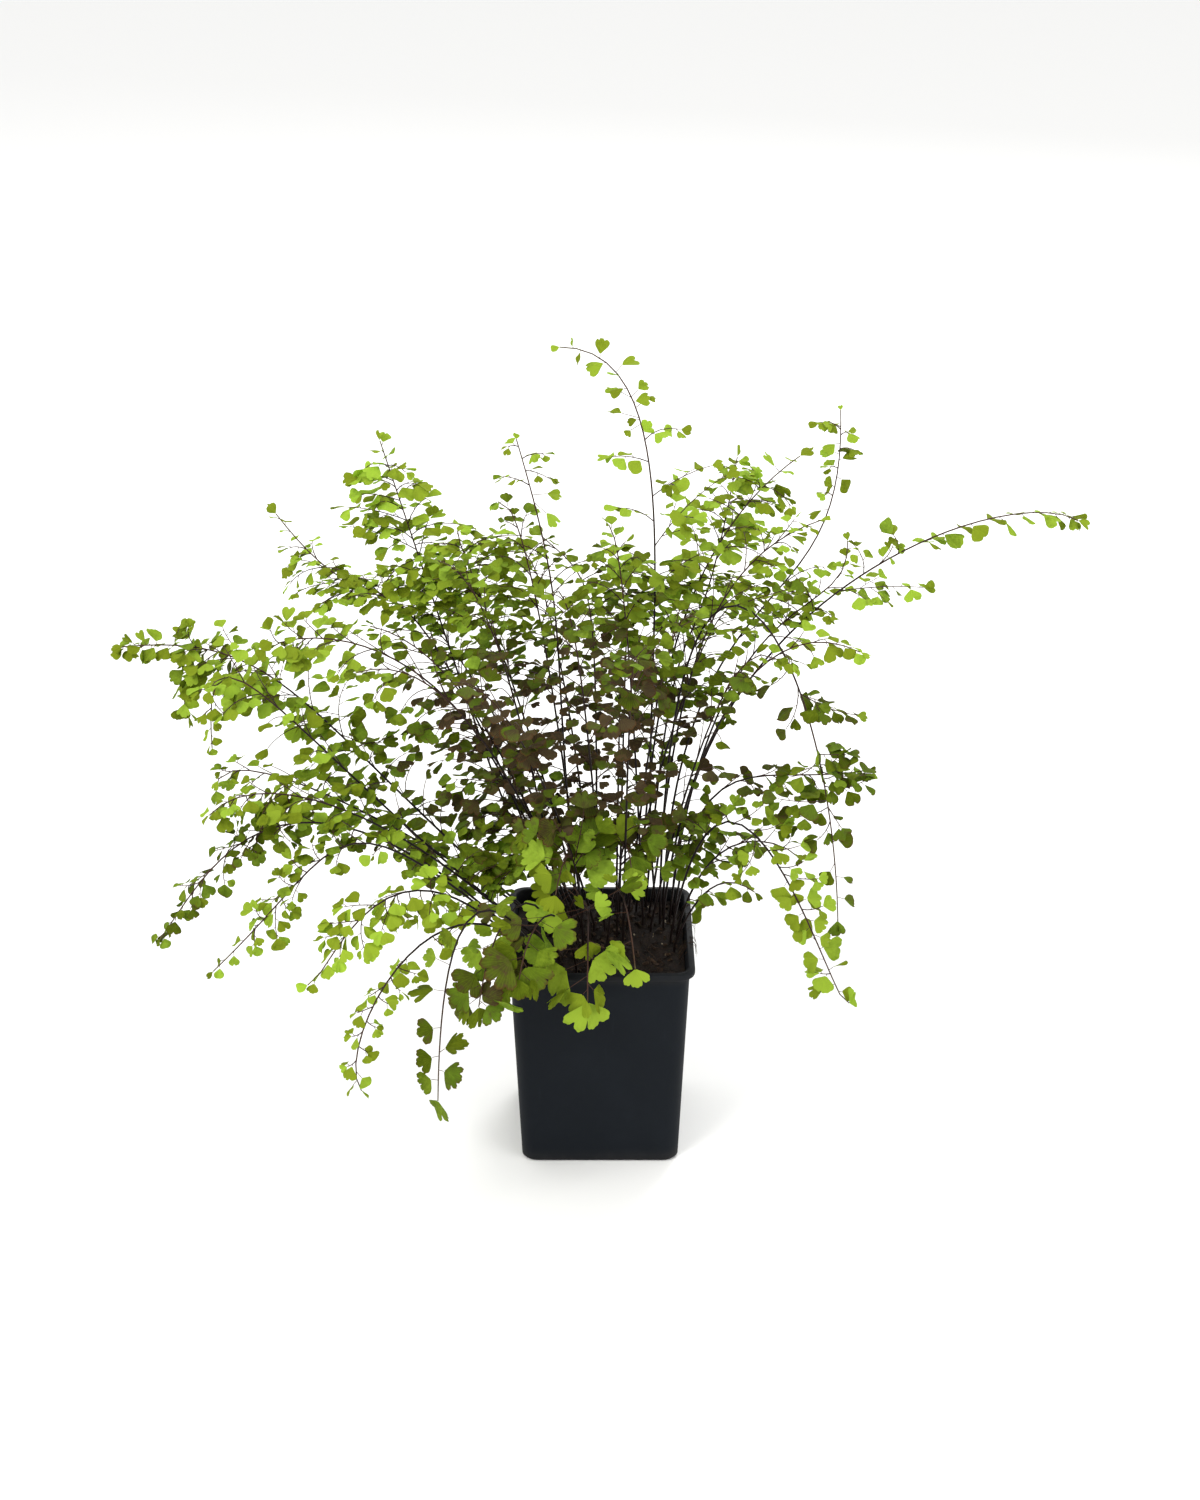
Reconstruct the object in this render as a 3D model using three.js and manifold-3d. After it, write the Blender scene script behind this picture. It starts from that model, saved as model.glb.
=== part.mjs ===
// Potted maidenhair fern: a square nursery pot, its soil, and the fronds that arch out of it.
// Millimetres, +Z up. The origin is the middle of the pot's flat underside, the front faces -Y.

import * as THREE from "three";
import { mergeVertices } from "three/addons/utils/BufferGeometryUtils.js";
import Module from "manifold-3d";

// Pot: thin moulded plastic, tapering to the base, with a narrow turned-out lip.
const POT_HEIGHT = 132;
const POT_RIM = 110;
const POT_UNDER_LIP = 104;
const POT_BASE = 93.6;
const POT_WALL = 1.6;
const POT_FLOOR = 2.4;
const POT_CORNER = 9;
const POT_LIP_HEIGHT = 4;
const POT_LIP_WIDTH = 3.8;
const POT_LIP_EDGE = 1;
const POT_LIP_FLARE = 3;
const POT_BASE_EDGE = 1.2;
const CORNER_STEPS = 4;
const DRAIN_HOLE = 8;
const DRAIN_SIDES = 10;
const DRAIN_SPACING = 56;

// Soil: fills the pot to below the rim and mounds up round the crown, towards the back.
const SOIL_LEVEL = 121;
const SOIL_GAP = 0.4;
const MOUND_RISE = 9;
const MOUND_CENTRE = [4, 22];
const MOUND_SPREAD = [44, 32];
const SOIL_LUMP = 0.9;
const FINE_LUMP = 4.4;
const BROAD_LUMP = 7;
const SOIL_RINGS = [1, 0.8, 0.58, 0.36, 0.12];

// Stems: three-sided wires, each with its foot in a plain hole in the soil.
const STEM_RADIUS = 1;
const STEM_TIP_RADIUS = 0.85;
const STEM_SIDES = 3;
const STEM_STEP = 70;
const LEAST_STEPS = 3;
const FOOT_DEPTH = 9.5;
const NECK = 4;
const HOLE_DEPTH = 10;
const HOLE_RADIUS = 1.75;
const HOLE_TOP = 8;
const HOLE_SIDES = 5;
const STEM_CLEARANCE = 3.2;
const ROOT_SPACING = 4.4;
const ROUTE_SAMPLES = 12;
const SWING_STEP = 3;
const MOST_SWING = 45;
const SWING_LIFT = -0.46;

// Leaf blades: a rib with fan leaflets on alternate sides and one at its end, in one thin sheet.
const BLADE_THICKNESS = 0.68;
const RIB_HALF_WIDTH = 0.7;
const LEAFLET_FOOT = 0.8;
const GUARD_GROWTH = 0.45;
const LEAFLET_ANGLE = 1.02;
const TIP_BLADE_OVERLAP = 3;
const BLADE_SPAN = [0.52, 0.93];
const STEM_PER_BLADE = 140;
const MOST_SIDE_BLADES = 3;
const SIDE_ANGLE_RANGE = [0.85, 1.15];
const SAG_RANGE = [0.1, 0.4];
const MOST_ROLL = 0.45;
const DROOP_RANGE = [0.002, 0.006];
const CUP = 0.1;
const BLADE_SEED = 100;
const BLADE_BENDS = [0, 0.25, -0.25, 0.5, -0.5, 0.75, -0.75, 1, -1, 1.3, -1.3, 1.6, -1.6];

// Half outlines of the two leaflet forms, as shares of the leaflet's size: along it, then across.
const FAN_EDGE = [
  [0.56, -0.46],
  [0.98, -0.24],
  [0.8, 0.02],
  [0.94, 0.4],
];
const LOBED_EDGE = [
  [0.42, -0.54],
  [0.72, -0.5],
  [0.62, -0.2],
  [1.0, -0.06],
  [0.7, 0.14],
  [0.86, 0.5],
  [0.4, 0.46],
];
const FAN = { edge: FAN_EDGE, size: 11.5, spacing: 7 };
const LOBED = { edge: LOBED_EDGE, size: 19, spacing: 11 };
const BROAD = { edge: FAN_EDGE, size: 15, spacing: 9 };
const TIP_LEAFLETS = 2;
const SIDE_LEAFLETS = 2;

// Fronds that make the outline. A stem leaves its root leaning towards the tip: it has gone the
// lean share of the way out where it has risen by rise. Then it arches over to the tip; bend is
// the share of the way out and the height that draws the arch.
const OUTER_FRONDS = [
  { root: [34, 36], rise: 140, lean: 0.3, bend: [-0.5, 475], tip: [-22, 30, 477], twist: 1.3 },
  { root: [-14, 34], rise: 190, lean: 0.5, bend: [0.05, 310], tip: [-46, 20, 428], twist: 1.1 },
  { root: [-25, 30], rise: 65, lean: 0.35, bend: [0.2, 150], tip: [-125, 60, 415], twist: 0.6 },
  { root: [-20, 22], rise: 290, lean: 0.7, bend: [0.55, 270], tip: [-188, 70, 368], twist: 0.4 },
  { root: [-30, 24], rise: 210, lean: 0.25, bend: [0.95, 330], tip: [-185, -20, 319] },
  { root: [-38, 16], rise: 140, lean: 0.6, bend: [0.6, 315], tip: [-273, 20, 305] },
  { root: [-40, 4], rise: 145, lean: 0.8, bend: [1, 365], tip: [-217, -30, 264] },
  { root: [-32, 8], rise: 35, lean: 0.15, bend: [1, 290], tip: [-218, -30, 236] },
  { root: [-38, -4], rise: 105, lean: 0.45, bend: [0.85, 265], tip: [-216, -60, 237] },
  { root: [-42, -10], rise: 175, lean: 0.65, bend: [0.85, 210], tip: [-245, -80, 170] },
  { root: [-38, -17], rise: 140, lean: 0.65, bend: [0.55, 225], tip: [-214, -95, 158] },
  { root: [-40, -26], rise: 140, lean: 0.65, bend: [0.9, 155], tip: [-160, -110, 158] },
  { root: [-32, -32], rise: 115, lean: 0.55, bend: [1.15, 140], tip: [-131, -130, 103], leaf: BROAD },
  { root: [-26, -38], rise: 30, lean: 0.2, bend: [0.9, 280], tip: [-90, -120, 90], leaf: LOBED },
  { root: [-12, 27], rise: 165, lean: 0.55, bend: [1.1, 375], tip: [-81, 40, 368] },
  { root: [-2, 38], rise: 225, lean: 0, bend: [0, 335], tip: [-34, 60, 358], leaf: LOBED },
  { root: [28, 38], rise: 235, lean: 0.35, bend: [0.5, 235], tip: [80, 90, 396], twist: -0.6 },
  { root: [22, 28], rise: 60, lean: 0.1, bend: [0, 350], tip: [114, 60, 406], leaf: BROAD },
  { root: [30, 26], rise: 85, lean: 0.15, bend: [0.1, 350], tip: [123, 20, 381] },
  { root: [38, 29], rise: 235, lean: 0.05, bend: [1.1, 285], tip: [138, 80, 427], twist: -1 },
  { root: [44, 34], rise: 200, lean: 0, bend: [0.8, 405], tip: [267, 20, 381] },
  { root: [42, 22], rise: 230, lean: 0.2, bend: [1.05, 305], tip: [141, 40, 362] },
  { root: [38, 12], rise: 45, lean: 0, bend: [0.3, 350], tip: [143, -30, 322] },
  { root: [36, 19], rise: 330, lean: 0, bend: [0.9, 345], tip: [137, -34, 155] },
  { root: [44, 12], rise: 130, lean: 0.1, bend: [0.45, 225], tip: [152, -20, 246] },
  { root: [42, 0], rise: 210, lean: 0.3, bend: [0.95, 95], tip: [143, -60, 117], leaf: BROAD },
  { root: [46, 5], rise: 100, lean: 0.3, bend: [1.05, 190], tip: [115, -20, 190] },
  { root: [44, -9], rise: 55, lean: 0.35, bend: [0.75, 180], tip: [89, -30, 173] },
  { root: [-6, -24], rise: 65, lean: 0.2, bend: [0.8, 185], tip: [-7, -76, 127], leaf: LOBED },
  { root: [-24, -26], rise: 70, lean: 0.2, bend: [0.8, 195], tip: [-68, -88, 131], leaf: LOBED },
  { root: [4, -16], rise: 65, lean: 0.2, bend: [0.65, 195], tip: [20, -66, 143], leaf: LOBED },
  { root: [-14, -32], rise: 60, lean: 0.2, bend: [0.8, 190], tip: [-45, -90, 150], leaf: LOBED },
  { root: [-10, -10], rise: 75, lean: 0.2, bend: [0.6, 215], tip: [-25, -60, 187], leaf: BROAD },
  { root: [10, 2], rise: 65, lean: 0.2, bend: [0.55, 210], tip: [18, -30, 189], leaf: LOBED },
];

// Fronds of the inner dome, set round the crown by the golden angle.
const INNER_COUNT = 15;
const INNER_SEED = 11;
const GOLDEN_ANGLE = 2.39996;
const CROWN = [4, 14];
const CROWN_REACH = [30, 19];
const DOME_CENTRE = [-22, 0];
const DOME_REACH = [158, 155];
const DOME_TOP = 385;
const DOME_FALL = 115;
const HEADING_JITTER = 0.25;
const HEIGHT_JITTER = 20;
const OUT_RANGE = [0.8, 1.05];
const ROOT_RANGE = [0.3, 1];
const RISE_RANGE = [0.45, 0.6];
const BEND_OUT_RANGE = [0.55, 0.75];
const BEND_LIFT_RANGE = [-10, 20];
const INNER_LEAN = 0.3;
const MOST_TWIST = 0.7;

const PLASTIC = { color: 0x14191f, roughness: 0.42, metalness: 0 };
const EARTH = { color: 0x2b1d15, roughness: 0.95, metalness: 0 };
const YOUNG_LEAF = { color: 0x86b42c, roughness: 0.5, metalness: 0 };
const OLD_LEAF = { color: 0x5c5a30, roughness: 0.55, metalness: 0 };

const wasm = await Module();
wasm.setup();

const lerp = THREE.MathUtils.lerp;

function seededRandom(seed) {
  let state = seed;
  return () => {
    state = (state + 0x6d2b79f5) | 0;
    let mixed = Math.imul(state ^ (state >>> 15), 1 | state);
    mixed = (mixed + Math.imul(mixed ^ (mixed >>> 7), 61 | mixed)) ^ mixed;
    return ((mixed ^ (mixed >>> 14)) >>> 0) / 4294967296;
  };
}

function pick([low, high], random) {
  return lerp(low, high, random());
}

function solidOf(geometry) {
  const bare = geometry.clone();
  bare.deleteAttribute("normal");
  bare.deleteAttribute("uv");
  const merged = mergeVertices(bare, 1e-4);
  return new wasm.Manifold(
    new wasm.Mesh({
      numProp: 3,
      vertProperties: merged.attributes.position.array,
      triVerts: new Uint32Array(merged.index.array),
    }),
  );
}

function geometryOf(solid) {
  const mesh = solid.getMesh();
  const geometry = new THREE.BufferGeometry();
  geometry.setAttribute("position", new THREE.BufferAttribute(mesh.vertProperties, 3));
  geometry.setIndex(new THREE.BufferAttribute(mesh.triVerts, 1));
  geometry.computeVertexNormals();
  return geometry;
}

function meshFrom(name, solid, finish) {
  const mesh = new THREE.Mesh(geometryOf(solid), new THREE.MeshStandardMaterial(finish));
  mesh.name = name;
  return mesh;
}

// A closed skin through rings of equally many points, with a flat fan over each end ring.
function loft(rings) {
  const count = rings[0].length;
  const index = [];
  for (let ring = 0; ring + 1 < rings.length; ring++) {
    for (let i = 0; i < count; i++) {
      const a = ring * count + i;
      const b = ring * count + ((i + 1) % count);
      index.push(a, b, b + count, a, b + count, a + count);
    }
  }
  const last = (rings.length - 1) * count;
  for (let i = 1; i + 1 < count; i++) {
    index.push(0, i + 1, i);
    index.push(last, last + i, last + i + 1);
  }
  const geometry = new THREE.BufferGeometry();
  const points = rings.flat().map((p) => new THREE.Vector3(...p));
  geometry.setFromPoints(points);
  geometry.setIndex(index);
  return geometry;
}

// A level square ring with round corners, anticlockwise from above.
function squareRing(width, corner, z) {
  const ring = [];
  const inset = width / 2 - corner;
  for (let quarter = 0; quarter < 4; quarter++) {
    const middle = (quarter + 0.5) * (Math.PI / 2);
    const cx = Math.sign(Math.cos(middle)) * inset;
    const cy = Math.sign(Math.sin(middle)) * inset;
    for (let i = 0; i <= CORNER_STEPS; i++) {
      const angle = (quarter + i / CORNER_STEPS) * (Math.PI / 2);
      ring.push([cx + corner * Math.cos(angle), cy + corner * Math.sin(angle), z]);
    }
  }
  return ring;
}

// Outer width of the pot's wall at a height, without the lip.
function potWidth(z) {
  return lerp(POT_BASE, POT_UNDER_LIP, z / (POT_HEIGHT - POT_LIP_HEIGHT));
}

// An upright round-sided plug, used to cut a hole.
function plug(radius, sides, x, y, low, high) {
  const geometry = new THREE.CylinderGeometry(radius, radius, high - low, sides);
  geometry.rotateX(Math.PI / 2);
  geometry.translate(x, y, (low + high) / 2);
  return solidOf(geometry);
}

function potSolid() {
  const underLip = POT_HEIGHT - POT_LIP_HEIGHT;
  const throat = underLip - POT_LIP_FLARE;
  const lipCorner = POT_CORNER + POT_LIP_EDGE;
  const innerCorner = POT_CORNER - POT_WALL;
  const skin = loft([
    squareRing(POT_BASE - 2 * POT_BASE_EDGE, POT_CORNER, 0),
    squareRing(potWidth(POT_BASE_EDGE), POT_CORNER, POT_BASE_EDGE),
    squareRing(POT_UNDER_LIP, POT_CORNER, underLip),
    squareRing(POT_RIM - POT_LIP_EDGE, lipCorner, underLip + POT_LIP_EDGE / 2),
    squareRing(POT_RIM, lipCorner, POT_HEIGHT - POT_LIP_EDGE),
    squareRing(POT_RIM - 2 * POT_LIP_EDGE, POT_CORNER, POT_HEIGHT),
    squareRing(POT_RIM - 2 * POT_LIP_WIDTH, POT_CORNER - POT_LIP_EDGE, POT_HEIGHT),
    squareRing(potWidth(throat) - 2 * POT_WALL, innerCorner, throat),
    squareRing(potWidth(POT_FLOOR) - 2 * POT_WALL, innerCorner, POT_FLOOR),
  ]);
  let pot = solidOf(skin);
  for (const x of [-DRAIN_SPACING / 2, DRAIN_SPACING / 2]) {
    for (const y of [-DRAIN_SPACING / 2, DRAIN_SPACING / 2]) {
      pot = pot.subtract(plug(DRAIN_HOLE / 2, DRAIN_SIDES, x, y, -POT_FLOOR, 2 * POT_FLOOR));
    }
  }
  return pot;
}

function soilHeight(x, y) {
  const dx = (x - MOUND_CENTRE[0]) / MOUND_SPREAD[0];
  const dy = (y - MOUND_CENTRE[1]) / MOUND_SPREAD[1];
  const mound = MOUND_RISE * Math.exp(-dx * dx - dy * dy);
  const fine = Math.sin(x / FINE_LUMP + 1) * Math.cos(y / FINE_LUMP);
  const broad = Math.sin((y - x) / BROAD_LUMP);
  return SOIL_LEVEL + mound + SOIL_LUMP * (fine + broad);
}

function soilSolid(fronds) {
  const inner = (z) => potWidth(z) - 2 * (POT_WALL + SOIL_GAP);
  const corner = POT_CORNER - POT_WALL - SOIL_GAP;
  const floor = POT_FLOOR + SOIL_GAP;
  const edge = squareRing(inner(SOIL_LEVEL), corner, 0);
  const surface = SOIL_RINGS.map((share) =>
    edge.map(([x, y]) => [x * share, y * share, soilHeight(x * share, y * share)]),
  );
  let soil = solidOf(loft([squareRing(inner(floor), corner, floor), ...surface]));
  for (const { root, ground } of fronds) {
    const [x, y] = root;
    const hole = plug(HOLE_RADIUS, HOLE_SIDES, x, y, ground - HOLE_DEPTH, ground + HOLE_TOP);
    soil = soil.subtract(hole);
  }
  return soil;
}

// The planting: each frond gets its stem's curve and the level line across its blade.
function planted(frond) {
  const [x, y] = frond.root;
  const [tipX, tipY, tipZ] = frond.tip;
  const [out, bendZ] = frond.bend;
  const ground = soilHeight(x, y);
  const wayOut = (share, z) => new THREE.Vector3(lerp(x, tipX, share), lerp(y, tipY, share), z);
  const curve = new THREE.CubicBezierCurve3(
    wayOut(0, ground + NECK),
    wayOut(frond.lean, ground + NECK + frond.rise),
    wayOut(out, bendZ),
    new THREE.Vector3(tipX, tipY, tipZ),
  );
  const across = new THREE.Vector3(y - tipY, tipX - x, 0).normalize();
  const leaf = frond.leaf ?? FAN;
  const length = curve.getLength() - TIP_LEAFLETS * leaf.spacing - leaf.size;
  const steps = Math.round(length / STEM_STEP) + LEAST_STEPS;
  const end = length / curve.getLength();
  const route = Array.from({ length: steps + 1 }, (_, i) => curve.getPointAt((end * i) / steps));
  return { twist: 0, ...frond, leaf, ground, route, across, length };
}

// The point a share of the way along a stem's route, and the stem's direction there.
function onStem(frond, share) {
  const segments = frond.route.length - 1;
  const start = Math.min(Math.floor(share * segments), segments - 1);
  const from = frond.route[start];
  const to = frond.route[start + 1];
  const point = from.clone().lerp(to, share * segments - start);
  return { point, along: to.clone().sub(from).normalize() };
}

function stemsClear(frond, others) {
  return others.every((other) => {
    const dx = frond.root[0] - other.root[0];
    const dy = frond.root[1] - other.root[1];
    return Math.hypot(dx, dy) > ROOT_SPACING && routeGap(frond.route, other.route) > STEM_CLEARANCE;
  });
}

// Least distance between two stem routes, sampled closely along the first.
function routeGap(route, other) {
  const line = new THREE.Line3();
  const nearest = new THREE.Vector3();
  const sample = new THREE.Vector3();
  let gap = Infinity;
  for (let i = 0; i + 1 < route.length; i++) {
    for (let step = 0; step < ROUTE_SAMPLES; step++) {
      sample.lerpVectors(route[i], route[i + 1], step / ROUTE_SAMPLES);
      for (let j = 0; j + 1 < other.length; j++) {
        line.set(other[j], other[j + 1]).closestPointToPoint(sample, true, nearest);
        gap = Math.min(gap, nearest.distanceTo(sample));
      }
    }
  }
  return gap;
}

function innerFrond(order, random) {
  const heading = order * GOLDEN_ANGLE + pick([-HEADING_JITTER, HEADING_JITTER], random);
  const out = Math.sqrt((order + 0.5) / INNER_COUNT) * pick(OUT_RANGE, random);
  const rootOut = pick(ROOT_RANGE, random);
  const height = DOME_TOP - DOME_FALL * out * out + pick([-HEIGHT_JITTER, HEIGHT_JITTER], random);
  const cos = Math.cos(heading);
  const sin = Math.sin(heading);
  const root = [
    CROWN[0] + cos * CROWN_REACH[0] * rootOut,
    CROWN[1] + sin * CROWN_REACH[1] * rootOut,
  ];
  const tip = [
    DOME_CENTRE[0] + cos * DOME_REACH[0] * out,
    DOME_CENTRE[1] + sin * DOME_REACH[1] * out,
    height,
  ];
  const rise = (height - SOIL_LEVEL) * pick(RISE_RANGE, random);
  const bend = [pick(BEND_OUT_RANGE, random), height + pick(BEND_LIFT_RANGE, random)];
  const twist = pick([-MOST_TWIST, MOST_TWIST], random);
  return planted({ root, rise, lean: INNER_LEAN, bend, tip, twist, inner: true });
}

// A frond whose tip is swung forwards and up, or backwards and down, until its stem clears the
// stems already there.
function bentClear(frond, others) {
  for (let swing = 0; swing <= MOST_SWING; swing += SWING_STEP) {
    for (const shift of [swing, -swing]) {
      const [x, y, z] = frond.tip;
      const tip = [x, y + shift, z + shift * SWING_LIFT];
      const [out, bendZ] = frond.bend;
      const bend = [out, bendZ + shift * SWING_LIFT * out];
      const bent = planted({ ...frond, tip, bend });
      if (stemsClear(bent, others)) return bent;
    }
  }
  throw new Error("no room for the frond rooted at " + frond.root);
}

function plantFronds() {
  const random = seededRandom(INNER_SEED);
  const fronds = [];
  for (const frond of OUTER_FRONDS) {
    fronds.push(bentClear(frond, fronds));
  }
  for (let order = 0; order < INNER_COUNT; order++) {
    let frond = innerFrond(order, random);
    while (!stemsClear(frond, fronds)) {
      frond = innerFrond(order, random);
    }
    fronds.push(frond);
  }
  return fronds;
}

function stemSolid(frond) {
  const [x, y] = frond.root;
  const foot = new THREE.Vector3(x, y, frond.ground - FOOT_DEPTH);
  const points = [foot, ...frond.route];
  const rings = points.map((point, i) => {
    const radius = lerp(STEM_RADIUS, STEM_TIP_RADIUS, i / points.length);
    const before = points[Math.max(i - 1, 0)];
    const after = points[Math.min(i + 1, points.length - 1)];
    const along = after.clone().sub(before).normalize();
    const up = new THREE.Vector3().crossVectors(frond.across, along);
    return Array.from({ length: STEM_SIDES }, (_, side) => {
      const angle = Math.PI / 2 + (side / STEM_SIDES) * 2 * Math.PI;
      return point
        .clone()
        .addScaledVector(frond.across, -radius * Math.cos(angle))
        .addScaledVector(up, radius * Math.sin(angle))
        .toArray();
    });
  });
  return solidOf(loft(rings));
}

// One leaflet's edge in the blade's flat pattern, from its near side round to its far side.
function leafletEdge(leaf, foot, heading, mirrored, growth) {
  const size = leaf.size + 2 * growth;
  const edge = leaf.edge.map(([p, q]) => [p * size - growth, q * size]);
  const turned = mirrored ? edge.map(([p, q]) => [p, -q]).reverse() : edge;
  return turned.map(([p, q]) => [
    foot[0] + p * Math.cos(heading) - q * Math.sin(heading),
    foot[1] + p * Math.sin(heading) + q * Math.cos(heading),
  ]);
}

// Flat pattern of a blade: up the right edge, round the end leaflet, back down the left edge.
function bladePattern(leaf, start, sideLeaflets, growth) {
  const half = RIB_HALF_WIDTH + growth;
  const reach = LEAFLET_FOOT + growth;
  const right = [[-growth, -half]];
  const left = [[-growth, half]];
  for (let i = 0; i < sideLeaflets; i++) {
    const s = start + i * leaf.spacing;
    if (i % 2 === 0) {
      const edge = leafletEdge(leaf, [s, -half], -LEAFLET_ANGLE, false, growth);
      right.push([s - reach, -half], ...edge, [s + reach, -half]);
    } else {
      const edge = leafletEdge(leaf, [s, half], LEAFLET_ANGLE, true, growth);
      left.push([s - reach, half], ...edge.reverse(), [s + reach, half]);
    }
  }
  const end = start + sideLeaflets * leaf.spacing;
  const last = leafletEdge(leaf, [end, 0], 0, false, growth);
  return [...right, [end, -half], ...last, [end, half], ...left.reverse()];
}

// The pattern bent to a drooping, slightly cupped sheet, with both faces split alike.
function bladeGeometry(pattern, pose, thickness) {
  const flat = pattern.map(([s, w]) => new THREE.Vector2(s, w));
  const triangles = THREE.ShapeUtils.triangulateShape(flat, []);
  const count = flat.length;
  const points = [];
  for (const lift of [-thickness / 2, thickness / 2]) {
    for (const { x: s, y: w } of flat) {
      const height = lift - pose.droop * s * s - pose.cup * w * w;
      points.push(
        pose.origin
          .clone()
          .addScaledVector(pose.along, s)
          .addScaledVector(pose.side, w)
          .addScaledVector(pose.up, height),
      );
    }
  }
  const index = [];
  for (const [a, b, c] of triangles) {
    index.push(a, c, b, a + count, b + count, c + count);
  }
  for (let i = 0; i < count; i++) {
    const j = (i + 1) % count;
    index.push(i, j, j + count, i, j + count, i + count);
  }
  const geometry = new THREE.BufferGeometry();
  geometry.setFromPoints(points);
  geometry.setIndex(index);
  return geometry;
}

// A blade, grown on every side where it stands for the room that it needs.
function bladeSolid(leaf, place, pose, growth) {
  const pattern = bladePattern(leaf, place.start, place.sideLeaflets, growth);
  return solidOf(bladeGeometry(pattern, pose, BLADE_THICKNESS + 2 * growth));
}

// A blade's place on its stem: where it starts, and how it is turned, tilted and rolled.
function bladePose(frond, place) {
  const { point: origin, along: tangent } = onStem(frond, place.share);
  const across = frond.across.clone().applyAxisAngle(tangent, frond.twist);
  const normal = new THREE.Vector3().crossVectors(tangent, across);
  const along = tangent.clone().multiplyScalar(Math.cos(place.angle));
  along.addScaledVector(across, Math.sin(place.angle));
  along.z -= place.sag;
  along.normalize();
  const side = new THREE.Vector3().crossVectors(normal, along).normalize();
  side.applyAxisAngle(along, place.roll);
  const up = new THREE.Vector3().crossVectors(along, side);
  return { origin, along, side, up, droop: place.droop, cup: CUP / frond.leaf.size };
}

// The places of a frond's blades: one that carries the stem on, then side blades in turn.
function bladePlaces(frond, random) {
  const overlap = TIP_BLADE_OVERLAP / frond.length;
  const start = TIP_BLADE_OVERLAP + LEAFLET_FOOT;
  const tip = { share: 1 - overlap, angle: 0, sag: 0, sideLeaflets: TIP_LEAFLETS, start };
  const places = [tip];
  const wanted = Math.round(frond.length / STEM_PER_BLADE);
  const count = THREE.MathUtils.clamp(wanted, 1, MOST_SIDE_BLADES);
  for (let i = 0; i < count; i++) {
    const turn = i % 2 === 0 ? 1 : -1;
    const share = lerp(...BLADE_SPAN, (i + 0.5 * random()) / count);
    const angle = turn * pick(SIDE_ANGLE_RANGE, random);
    const sag = pick(SAG_RANGE, random);
    places.push({ share, angle, sag, sideLeaflets: SIDE_LEAFLETS, start: frond.leaf.spacing });
  }
  for (const place of places) {
    place.roll = pick([-MOST_ROLL, MOST_ROLL], random);
    place.droop = pick(DROOP_RANGE, random);
  }
  return places;
}

function boxOf(solid) {
  const { min, max } = solid.boundingBox();
  return new THREE.Box3(new THREE.Vector3(...min), new THREE.Vector3(...max));
}

function isClear(guard, others) {
  const box = boxOf(guard);
  const near = others.filter((other) => box.intersectsBox(other.box));
  return near.every((other) => guard.intersect(other.solid).isEmpty());
}

// Tries a blade as planned, then bent a little further each time, until it clears the rest.
function fittedBlade(frond, place, others) {
  for (const bend of BLADE_BENDS) {
    const pose = bladePose(frond, { ...place, roll: place.roll + bend, sag: place.sag + bend / 3 });
    if (isClear(bladeSolid(frond.leaf, place, pose, GUARD_GROWTH), others)) {
      return bladeSolid(frond.leaf, place, pose, 0);
    }
  }
  return null;
}

function frondSolids(fronds, obstacles) {
  const plants = fronds.map((frond, i) => {
    const stem = stemSolid(frond);
    const places = bladePlaces(frond, seededRandom(BLADE_SEED + i));
    return { frond, places, pieces: [{ solid: stem, box: boxOf(stem) }] };
  });
  const most = Math.max(...plants.map((plant) => plant.places.length));
  for (let turn = 0; turn < most; turn++) {
    for (const plant of plants) {
      if (turn >= plant.places.length) continue;
      const strangers = plants.filter((other) => other !== plant).flatMap((other) => other.pieces);
      const others = [...obstacles, ...strangers, ...plant.pieces.slice(1)];
      const solid = fittedBlade(plant.frond, plant.places[turn], others);
      if (solid) plant.pieces.push({ solid, box: boxOf(solid) });
    }
  }
  return plants.map((plant) => plant.pieces.map((piece) => piece.solid).reduce((a, b) => a.add(b)));
}

function pottedFern() {
  const fronds = plantFronds();
  const pot = potSolid();
  const soil = soilSolid(fronds);
  const obstacles = [pot, soil].map((solid) => ({ solid, box: boxOf(solid) }));
  const group = new THREE.Group();
  group.add(meshFrom("pot", pot, PLASTIC));
  group.add(meshFrom("soil", soil, EARTH));
  frondSolids(fronds, obstacles).forEach((solid, i) => {
    const name = "frond_" + String(i + 1).padStart(2, "0");
    group.add(meshFrom(name, solid, fronds[i].inner ? OLD_LEAF : YOUNG_LEAF));
  });
  return group;
}

export default pottedFern();
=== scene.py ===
"""A potted maidenhair fern: square nursery pot, soil and fronds, dressed round the CAD frame."""

import logging
import math
from dataclasses import dataclass, field
from enum import Enum
from typing import Iterable, Optional, Sequence

import bpy
import numpy as np
from mathutils import Euler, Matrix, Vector, noise
from mathutils.geometry import delaunay_2d_cdt


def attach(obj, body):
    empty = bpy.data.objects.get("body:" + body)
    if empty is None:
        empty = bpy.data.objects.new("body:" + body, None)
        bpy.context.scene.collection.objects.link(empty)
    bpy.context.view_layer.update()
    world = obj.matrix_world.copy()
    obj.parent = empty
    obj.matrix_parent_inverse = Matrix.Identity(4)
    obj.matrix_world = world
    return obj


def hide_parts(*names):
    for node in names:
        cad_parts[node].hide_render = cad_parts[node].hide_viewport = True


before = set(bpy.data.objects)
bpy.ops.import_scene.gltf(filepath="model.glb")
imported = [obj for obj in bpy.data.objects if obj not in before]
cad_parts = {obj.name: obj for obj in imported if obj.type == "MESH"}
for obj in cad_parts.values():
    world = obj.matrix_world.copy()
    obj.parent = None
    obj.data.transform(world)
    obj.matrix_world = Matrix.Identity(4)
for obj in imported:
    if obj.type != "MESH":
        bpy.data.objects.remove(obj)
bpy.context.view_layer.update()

LOG = logging.getLogger("potted_fern")
MM = 0.001
UP = np.array([0.0, 0.0, 1.0])
Pair = tuple[float, float]
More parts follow.
